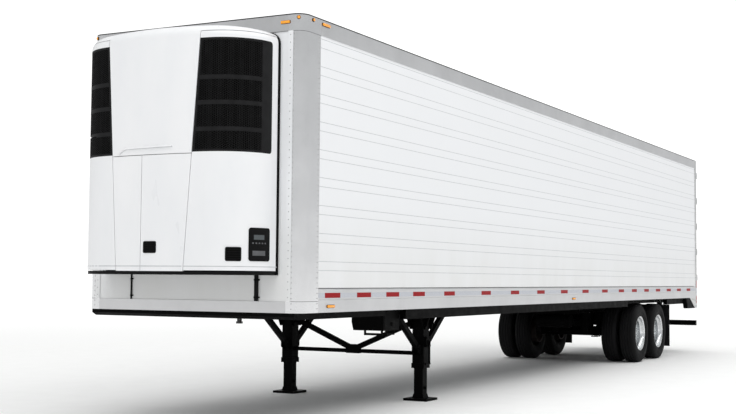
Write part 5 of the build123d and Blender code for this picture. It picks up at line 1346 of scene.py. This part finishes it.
# ---------------------------------------------------------------- Refrigeration unit's shell
# Gelcoated composite panels round a black moulded bulkhead and drip tray, with a joint along their foot.
# The two doors turn on pins at their rear edges; the cap and middle panels are fixed.
def gelcoat():
    """Glossy gelcoat over glass mat whose print barely shows."""
    material, tree, output = new_material("white_gelcoat")
    waves = noise(tree, (5.0, 5.0, 5.0), 2.0)
    mat_print = noise(tree, (120.0, 120.0, 120.0), 2.0)
    film = noise(tree, (2.0, 2.0, 0.8), 4.0)
    finish_shader(tree, output, {"Coat Weight": 0.35, "Coat Roughness": 0.08}, {
        "Base Color": ramp(tree, film, ((0.35, "E9EAEC"), (0.75, "F0F0F1"))),
        "Roughness": between(tree, film, 0.26, 0.34),
        "Normal": bump(tree, mat_print, 0.00003, 0.3, bump(tree, waves, 0.00006, 0.3)),
    })
    return material


def moulded_plastic(name, light, dark, shine=0.5):
    """Injection-moulded plastic with a spark-eroded grain, which keeps its sheen soft."""
    return mottled(name, {"Specular IOR Level": 0.12}, ((12.0, 12.0, 12.0), 3.0),
                   ((0.3, dark), (0.7, light)), (shine, shine + 0.15),
                   grain=((1100.0, 1100.0, 1100.0), 2.0), relief=(0.0001, 0.6))


GEL = gelcoat()
PLASTIC = moulded_plastic("black_moulding", "0A0A0B", "060607")
IRON = enamel("engine_enamel", "34363A", "232528", 0.40)
dress(GEL, "unit_cap", "unit_middle_panels", "unit_door_left", "unit_door_right")
dress(PLASTIC, "unit_bulkhead", "unit_base")
dress(IRON, "unit_engine")
cap_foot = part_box("unit_cap")[0].z
base_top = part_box("unit_base")[1].z
UNIT_HALF = 1.040
UNIT_DEEP = 0.660              # from the nose to the middle of its face
BOW = 4.000                    # plan radius of its face
CORNER = 0.500                 # plan radius of its corners
BOW_X = NOSE_X + UNIT_DEEP - BOW
CORNER_Y = UNIT_HALF - CORNER
CORNER_X = BOW_X + math.sqrt((BOW - CORNER) ** 2 - CORNER_Y ** 2)
CORNER_TURN = math.atan2(CORNER_Y, CORNER_X - BOW_X)
BOW_ARC = BOW * CORNER_TURN
CORNER_ARC = CORNER * (math.pi / 2 - CORNER_TURN)


def on_shell(along, z, out=0.0):
    """A point of the shell: along its plan from the middle to the road side, and out of its surface."""
    side = math.copysign(1.0, along)
    along = abs(along)
    if along < BOW_ARC:
        turn = along / BOW
        x, y = BOW_X + (BOW + out) * math.cos(turn), (BOW + out) * math.sin(turn)
    elif along < BOW_ARC + CORNER_ARC:
        turn = CORNER_TURN + (along - BOW_ARC) / CORNER
        x, y = CORNER_X + (CORNER + out) * math.cos(turn), CORNER_Y + (CORNER + out) * math.sin(turn)
    else:
        x, y = CORNER_X - (along - BOW_ARC - CORNER_ARC), UNIT_HALF + out
    return Vector((x, side * y, z))


def add_slab(form, outline, z_low, z_high, out_low, out_high):
    """A slab on the shell between two heights, drawn in at (place along the shell, inset) points."""
    loops = []
    for along, inset in outline:
        low, high = z_low + inset, z_high - inset
        corners = ((low, out_low), (high, out_low), (high, out_high), (low, out_high))
        loops.append([form.verts.new(on_shell(along, z, out)) for z, out in corners])
    add_loft(form, loops)


def add_patch(form, start, end, z_low, z_high, out_low, out_high, steps=6):
    """A slab on the shell between two places along it, two heights and two distances out of it."""
    outline = [(start + (end - start) * step / steps, 0.0) for step in range(steps + 1)]
    add_slab(form, outline, z_low, z_high, out_low, out_high)


def add_rounded(form, start, end, z_low, z_high, radius, out_low, out_high):
    """A slab on the shell with rounded corners."""
    curve = [(radius * (1 - math.cos(turn)), radius * (1 - math.sin(turn)))
             for turn in (math.pi / 2 * step / 5 for step in range(6))]
    middle = [(radius + (end - start - 2 * radius) * step / 6, 0.0) for step in range(1, 6)]
    corners = curve + middle + [(end - start - along, inset) for along, inset in reversed(curve)]
    outline = [(start + along, inset) for along, inset in corners]
    add_slab(form, outline, z_low, z_high, out_low, out_high)


def add_bead(form, path, section):
    """A bead on the shell along (place along it, height) points, with an (up, out) section."""
    add_loft(form, [[form.verts.new(on_shell(y, z + up, out)) for up, out in section] for y, z in path])


def corner_along(degrees):
    """Where the shell's corner has turned this many degrees from straight ahead."""
    return BOW_ARC + CORNER * (math.radians(degrees) - CORNER_TURN)


# A joint line along the foot of the panels, broken where they meet.
SUNK = -0.0005                 # everything on the shell starts just inside its face
FOOT_JOINTS = ((-1.50, -0.093), (-0.087, 0.385), (0.405, 1.50))
FOOT_JOINT_Z = (base_top + 0.004, base_top + 0.013)
joints = bmesh.new()
for start, end in FOOT_JOINTS:
    add_patch(joints, start, end, *FOOT_JOINT_Z, SUNK, 0.0006, 24)
piece("unit_foot_joint", joints, SEALANT)

# Embossed lip on the upper middle panel: a raised bead, curling down at its far end, with a grey strip under
# it as painted shadow.
LIP_Z = 2.690
LIP_STEPS = 22
LIP_START = 0.26
LIP_LENGTH = 0.64
LIP_FALL = 0.010               # over its length
LIP_CURL = (0.84, 0.048)       # share of its length where it curls, and the curl's drop
LIP_SECTION = ((0.014, SUNK), (0.005, 0.0125), (-0.003, 0.0175), (-0.005, SUNK))
LIP_SHADOW_SECTION = ((-0.004, SUNK), (-0.004, 0.0010), (-0.009, 0.0010), (-0.009, SUNK))
lip_path = []
for step in range(LIP_STEPS + 1):
    share = step / LIP_STEPS
    curl = max(0.0, (share - LIP_CURL[0]) / (1 - LIP_CURL[0])) ** 2
    lip_path.append((LIP_START - LIP_LENGTH * share, LIP_Z - LIP_FALL * share - LIP_CURL[1] * curl))
lip = bmesh.new()
add_bead(lip, lip_path, LIP_SECTION)
piece("unit_panel_lip", lip, GEL, sharp=70.0)
# The grey strip under the bead is painted shadow, not a groove.
lip_shadow = bmesh.new()
add_bead(lip_shadow, lip_path, LIP_SHADOW_SECTION)
piece("unit_lip_painted_shadow", lip_shadow, SEALANT)

# Two small louvred vents: one in the lower middle panel, one in the road-side door.
VENTS = (                      # body, ends along the shell, lower and upper edge
    ("trailer", "middle", -0.055, 0.097, 1.677, 1.790),
    ("unit_door_left", "door", corner_along(32.0), corner_along(49.5), 1.603, 1.735),
)
VENT_ROUND = 0.016
VENT_RIM = 0.011
VENT_FACE = 0.0045             # distances out of the shell
VENT_DEEP = (0.004, 0.0048)
SLAT_OUT = 0.0068
SLAT_Z = (-0.004, 0.003)
SLAT_COUNT = 5
for body, name, start, end, z_low, z_high in VENTS:
    vent = bmesh.new()
    add_rounded(vent, start, end, z_low, z_high, VENT_ROUND, SUNK, VENT_FACE)
    # Inside the rim, a thin near-black slab in painted shade stands in for the vent's dark inside; the slats
    # stand on it.
    deep = bmesh.new()
    inner = (start + VENT_RIM, end - VENT_RIM)
    add_rounded(deep, *inner, z_low + VENT_RIM, z_high - VENT_RIM, VENT_ROUND / 2, *VENT_DEEP)
    for number in range(SLAT_COUNT):
        z = z_low + VENT_RIM + (number + 0.5) * (z_high - z_low - 2 * VENT_RIM) / SLAT_COUNT
        add_patch(vent, *inner, z + SLAT_Z[0], z + SLAT_Z[1], VENT_DEEP[0], SLAT_OUT)
    piece(f"unit_vent_{name}", vent, PLASTIC, body, edge=0.0008)
    piece(f"unit_vent_painted_shade_{name}", deep, PAINTED_SHADE, body)
BROW_Z = (1.748, 1.756)        # a drip moulding over the door's vent
brow = bmesh.new()
add_patch(brow, corner_along(31.0), corner_along(50.5), *BROW_Z, SUNK, 0.0035, 8)
piece("unit_vent_brow", brow, GEL, "unit_door_left")

# ---------------------------------------------------------------- Unit grilles
# Black moulded frames and bars with a honeycomb mesh of 25 mm cells set in them.
# Condenser air goes through the cells, which are shallow, with a floor in painted shade standing in for their
# dark depth.
GRILLE = moulded_plastic("grille_moulding", "1F1F20", "161617")
MESH = moulded_plastic("honeycomb_moulding", "1C1C1D", "131314", 0.42)
dress(GRILLE, "unit_grille_left", "unit_grille_right")
CELL = 0.0125                  # a cell's corner from its middle
WALL = 0.0026                  # the mesh's wall between two cells
MESH_FRONT = -0.0016
MESH_BACK = -0.0060
FRAME_EDGE = 0.022
BAR_SHARES = (0.348, 0.570, 0.802)
BAR_HEIGHT = 0.042
SEAM_TOP = (0.545, cap_foot)   # the door's free edge at the cap and at the base
SEAM_FOOT = (0.395, base_top)
MESH_START = 0.42              # the mesh starts this far along the shell
MESH_END = NOSE_X + 0.270      # and ends here, on the unit's side
window_low, window_high = (corner.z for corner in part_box("unit_grille_left"))
bar_heights = [window_high - share * (window_high - window_low) for share in BAR_SHARES]


def seam_y(z):
    """The road-side door's free edge at a height."""
    share = (z - SEAM_FOOT[1]) / (SEAM_TOP[1] - SEAM_FOOT[1])
    return SEAM_FOOT[0] + share * (SEAM_TOP[0] - SEAM_FOOT[0])


def in_window(y, z):
    """Whether a cell's middle lies inside the frame and clear of its bars."""
    inside = window_low + FRAME_EDGE - CELL / 2 < z < window_high - FRAME_EDGE + CELL / 2
    clear = all(abs(z - bar) >= BAR_HEIGHT / 2 - CELL / 2 for bar in bar_heights)
    return inside and clear and y >= seam_y(z) + FRAME_EDGE - CELL / 3


def add_cell(form, painted_shade_floors, side, along, z):
    """One cell: a rim, a short wall behind it and its floor in painted shade."""
    hole = CELL - WALL / math.sqrt(3)
    outer, inner, deep = (
        [form.verts.new(on_shell(side * (along + reach * math.cos(turn)), z + reach * math.sin(turn), out))
         for turn in (math.pi / 3 * corner for corner in range(6))]
        for reach, out in ((CELL, MESH_FRONT), (hole, MESH_FRONT), (hole, MESH_BACK)))
    painted_shade_floors.faces.new([painted_shade_floors.verts.new(corner.co) for corner in deep])
    for at in range(6):
        after = (at + 1) % 6
        form.faces.new((outer[at], outer[after], inner[after], inner[at]))
        form.faces.new((inner[at], inner[after], deep[after], deep[at]))


row_pitch = CELL * math.sqrt(3)
row_count = int((window_high - window_low) / row_pitch) + 1
for side, name in ((1, "left"), (-1, "right")):
    mesh_form = bmesh.new()
    painted_shade_floors = bmesh.new()
    column = 0
    along = MESH_START
    while on_shell(along, 0.0).x >= MESH_END - CELL / 2:
        for row in range(row_count):
            z = window_low + (row + 0.5 * (column % 2)) * row_pitch
            if in_window(on_shell(along, 0.0).y, z):
                add_cell(mesh_form, painted_shade_floors, side, along, z)
        column += 1
        along += 1.5 * CELL
    piece(f"grille_mesh_{name}", mesh_form, MESH, f"unit_door_{name}")
    piece(f"grille_painted_shade_{name}", painted_shade_floors, PAINTED_SHADE, f"unit_door_{name}")

# ---------------------------------------------------------------- Control panel
# A black moulded fascia on the road-side door, with a display, another below it and a row of keys
# between them. The displays are unlit and the keys are blank.
def display_glass():
    """Acrylic over an unlit grey display: glossy, with a faint dot matrix."""
    material, tree, output = new_material("display_window")
    place = add(tree, "TexCoord")
    dots = add(tree, "TexWave", {"Scale": 120.0, "bands_direction": "Z", "Distortion": 0.0},
               {"Vector": place.outputs["Object"]})
    finish_shader(tree, output, {"Roughness": 0.12, "Coat Weight": 0.4}, {
        "Base Color": ramp(tree, dots.outputs["Fac"], ((0.2, "3B4144"), (0.8, "4A5154"))),
    })
    return material


DISPLAY = display_glass()
KEYS = moulded_plastic("grey_keys", "626365", "525355", 0.4)
FASCIA = 0.006                 # its face, out of the shell
FASCIA_ROUND = 0.026
FASCIA_TURNS = (57.5, 86.5)    # degrees round the corner
FASCIA_Z = (1.605, 1.919)
KEY_COUNT = 5
KEY_TURN = 62.5                # degrees to the first key, and from key to key
KEY_PITCH = 4.1
KEY_HALF = 0.009
KEY_Z = (1.767, 1.781)
KEY_RISE = 0.0020


def fascia_part(name, turns, heights, rise, steps, material, edge):
    """A flat part on the fascia, between degrees round the corner and between heights."""
    part = bmesh.new()
    add_patch(part, *map(corner_along, turns), *heights, FASCIA + SUNK, FASCIA + rise, steps)
    piece(name, part, material, "unit_door_left", edge=edge)


fascia = bmesh.new()
add_rounded(fascia, *map(corner_along, FASCIA_TURNS), *FASCIA_Z, FASCIA_ROUND, SUNK, FASCIA)
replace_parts(piece("unit_fascia", fascia, PLASTIC, "unit_door_left", edge=0.001),
            "unit_control_panel")
fascia_part("unit_display", (63.5, 77.5), (1.807, 1.852), 0.0012, 8, DISPLAY, 0.0004)
fascia_part("unit_lower_display", (62.0, 79.0), (1.657, 1.703), 0.0012, 8, KEYS, 0.0004)
keys = bmesh.new()
for number in range(KEY_COUNT):
    middle = corner_along(KEY_TURN + KEY_PITCH * number)
    add_patch(keys, middle - KEY_HALF, middle + KEY_HALF, *KEY_Z, FASCIA + SUNK, FASCIA + KEY_RISE, 3)
piece("unit_keys", keys, KEYS, "unit_door_left", edge=0.0008)
fascia_part("unit_fascia_divider", (58.5, 85.5), (1.735, 1.741), 0.0015, 10, PLASTIC, 0.0008)

# ---------------------------------------------------------------- Conduits below the unit
# Stiff rubber-sheathed conduits that run down the front wall from the unit to the bottom rail.
# Two black saddles clip each one to the wall.
CONDUIT = rubber("conduit_sheath", "1C1C1E", "111112")
NOSE_WALL_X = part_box("front_wall")[1].x
dress(CONDUIT, "front_conduits")
CONDUITS = ((-0.715, 0.009), (0.790, 0.009), (0.815, 0.014))    # y and radius
SADDLE_ZS = (1.262, 1.432)
SADDLE_HALF = 0.008
SADDLE_EAR = 0.012
SADDLE_FOOT = 0.002
SADDLE_THICK = 0.0015
saddles = bmesh.new()
for y, radius in CONDUITS:
    for z in SADDLE_ZS:
        reach = radius + SADDLE_EAR
        add_box(saddles, (NOSE_WALL_X, y - reach, z - SADDLE_HALF),
                (NOSE_WALL_X + SADDLE_FOOT, y + reach, z + SADDLE_HALF))
        add_band(saddles, Matrix.Translation((NOSE_WALL_X + radius, y, z)), radius, radius + SADDLE_THICK,
                 SADDLE_HALF, 20)
piece("conduit_saddles", saddles, BLACK)

# ---------------------------------------------------------------- Lamps
# Moulded lenses over reflector bowls, in black bezels: amber at the nose and along the rails, red behind.
# The tail lamps and two small ones at each front corner are round, and the others are long.
def lens(name, light, dark, glow):
    """A moulded lamp lens with fine prisms on a bright bowl."""
    material, tree, output = new_material(name)
    place = add(tree, "TexCoord")
    prisms = add(tree, "TexWave", {"Scale": 60.0, "bands_direction": "Z", "Distortion": 0.0},
                 {"Vector": place.outputs["Object"]})
    tone = ramp(tree, prisms.outputs["Fac"], ((0.2, dark), (0.9, light)))
    finish_shader(tree, output, {"Roughness": 0.14, "Coat Weight": 0.6, "Emission Strength": glow}, {
        "Base Color": tone,
        "Emission Color": tone,
        "Normal": bump(tree, prisms.outputs["Fac"], 0.0006, 0.6),
    })
    return material


AMBER = lens("amber_lens", "F6A81F", "E08A12", 0.22)
RED = lens("red_lens", "C8161B", "9A0D12", 0.10)
LAMP_OUT = 0.016
LAMP_HALF = 0.075
FRONT_HALF = 0.055             # the nose's lamps are shorter
LAMP_TALL = 0.017
BEZEL_RISE = 0.005
LENS_FOOT = 0.0045
LENS_INSET = 0.004
LENS_ROUND = 0.006
LAMP_CUT = 0.35                # how much of its half height each corner is cut
FRONT_YS = (-1.1, 0.0, 1.1)
MARKER_DROP = 0.080            # the nose's lamps below the caps' top
SIDE_DROP = 0.050
SIDE_BACKS = (0.435, (0.580, 8.077))         # behind the nose: below the top, and along the bottom rail
CLUSTER = (0.190, 0.040, 0.019)              # the round lamp on each side: behind the nose, drop, radius
CORNER_TURN_LAMP = math.radians(30)          # and the one on the rounded corner
TAIL = ((0.24, 0.38, 0.52), 1.0575, 0.050)   # insets, height and radius
HEADER = ((-0.2, 0.0, 0.2), 3.917)
RAIL_LAMP_RISE = 0.060         # above the bottom rail's foot
CAP_TALL = 0.166               # the corner caps, above their posts


def add_lamp(lenses, bezels, place, way, half_width):
    """A long lamp: a domed lens with rounded edges on a thin bezel. Its width lies level."""
    up = Vector((0, 0, 1))
    out = Vector(way)
    level = up.cross(out)
    for form, low, high, grow in ((bezels, 0.0, BEZEL_RISE, 0.0), (lenses, LENS_FOOT, LAMP_OUT, -LENS_INSET)):
        loops = []
        for rise, shrink in ((low, 0.0), (low + 0.6 * (high - low), 0.0), (high, LENS_ROUND)):
            wide, tall = half_width + grow - shrink, LAMP_TALL + grow - shrink
            cut = LAMP_CUT * tall
            loops.append([form.verts.new(Vector(place) + out * rise + level * a + up * b) for a, b in (
                (wide - cut, -tall), (wide, -tall + cut), (wide, tall - cut), (wide - cut, tall),
                (-wide + cut, tall), (-wide, tall - cut), (-wide, -tall + cut), (-wide + cut, -tall))])
        add_loft(form, loops)


def add_round_lamp(lenses, bezels, place, way, radius):
    """A round lamp: a domed lens in a bezel."""
    spot = facing(place, way)
    inner = radius - LENS_INSET
    add_turned(bezels, ((0, 0), (0, radius), (0.006, radius), (0.007, radius - 0.003), (0.007, 0)), spot, 28)
    add_turned(lenses, ((0.0065, 0), (0.0065, inner), (0.011, 0.96 * inner), (0.0145, 0.75 * inner),
                        (LAMP_OUT, 0)), spot, 28)


amber = bmesh.new()
red = bmesh.new()
bezels = bmesh.new()
rail_z, cap_z = foot_low.z + RAIL_LAMP_RISE, post_high.z + CAP_TALL
for y in FRONT_YS:
    add_lamp(amber, bezels, (NOSE_X, y, cap_z - MARKER_DROP), (1, 0, 0), FRONT_HALF)
for side in (-1, 1):
    out = side * HALF_WIDTH
    head_back, foot_backs = SIDE_BACKS
    for back, z in ((head_back, cap_z - SIDE_DROP), *((back, rail_z) for back in foot_backs)):
        add_lamp(amber, bezels, (NOSE_X - back, out, z), (0, side, 0), LAMP_HALF)
    back, drop, radius = CLUSTER
    add_round_lamp(amber, bezels, (NOSE_X - back, out, cap_z - drop), (0, side, 0), radius)
    along, across = math.cos(CORNER_TURN_LAMP), math.sin(CORNER_TURN_LAMP)
    place = (NOSE_X - POST_ROUND * (1 - along), side * (HALF_WIDTH - POST_ROUND * (1 - across)), cap_z - drop)
    add_round_lamp(amber, bezels, place, (along, side * across, 0), radius)
    for inset in TAIL[0]:
        add_round_lamp(red, bezels, (rear_face, side * (HALF_WIDTH - inset), TAIL[1]), (-1, 0, 0), TAIL[2])
for y in HEADER[0]:
    add_lamp(red, bezels, (rear_face, y, HEADER[1]), (-1, 0, 0), LAMP_HALF)
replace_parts(piece("amber_lenses", amber, AMBER, sharp=40.0), "amber_lamps")
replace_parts(piece("red_lenses", red, RED, sharp=40.0), "red_lamps")
piece("lamp_bezels", bezels, PLASTIC)

# ---------------------------------------------------------------- Bounds of the scene's pieces
low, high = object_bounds()
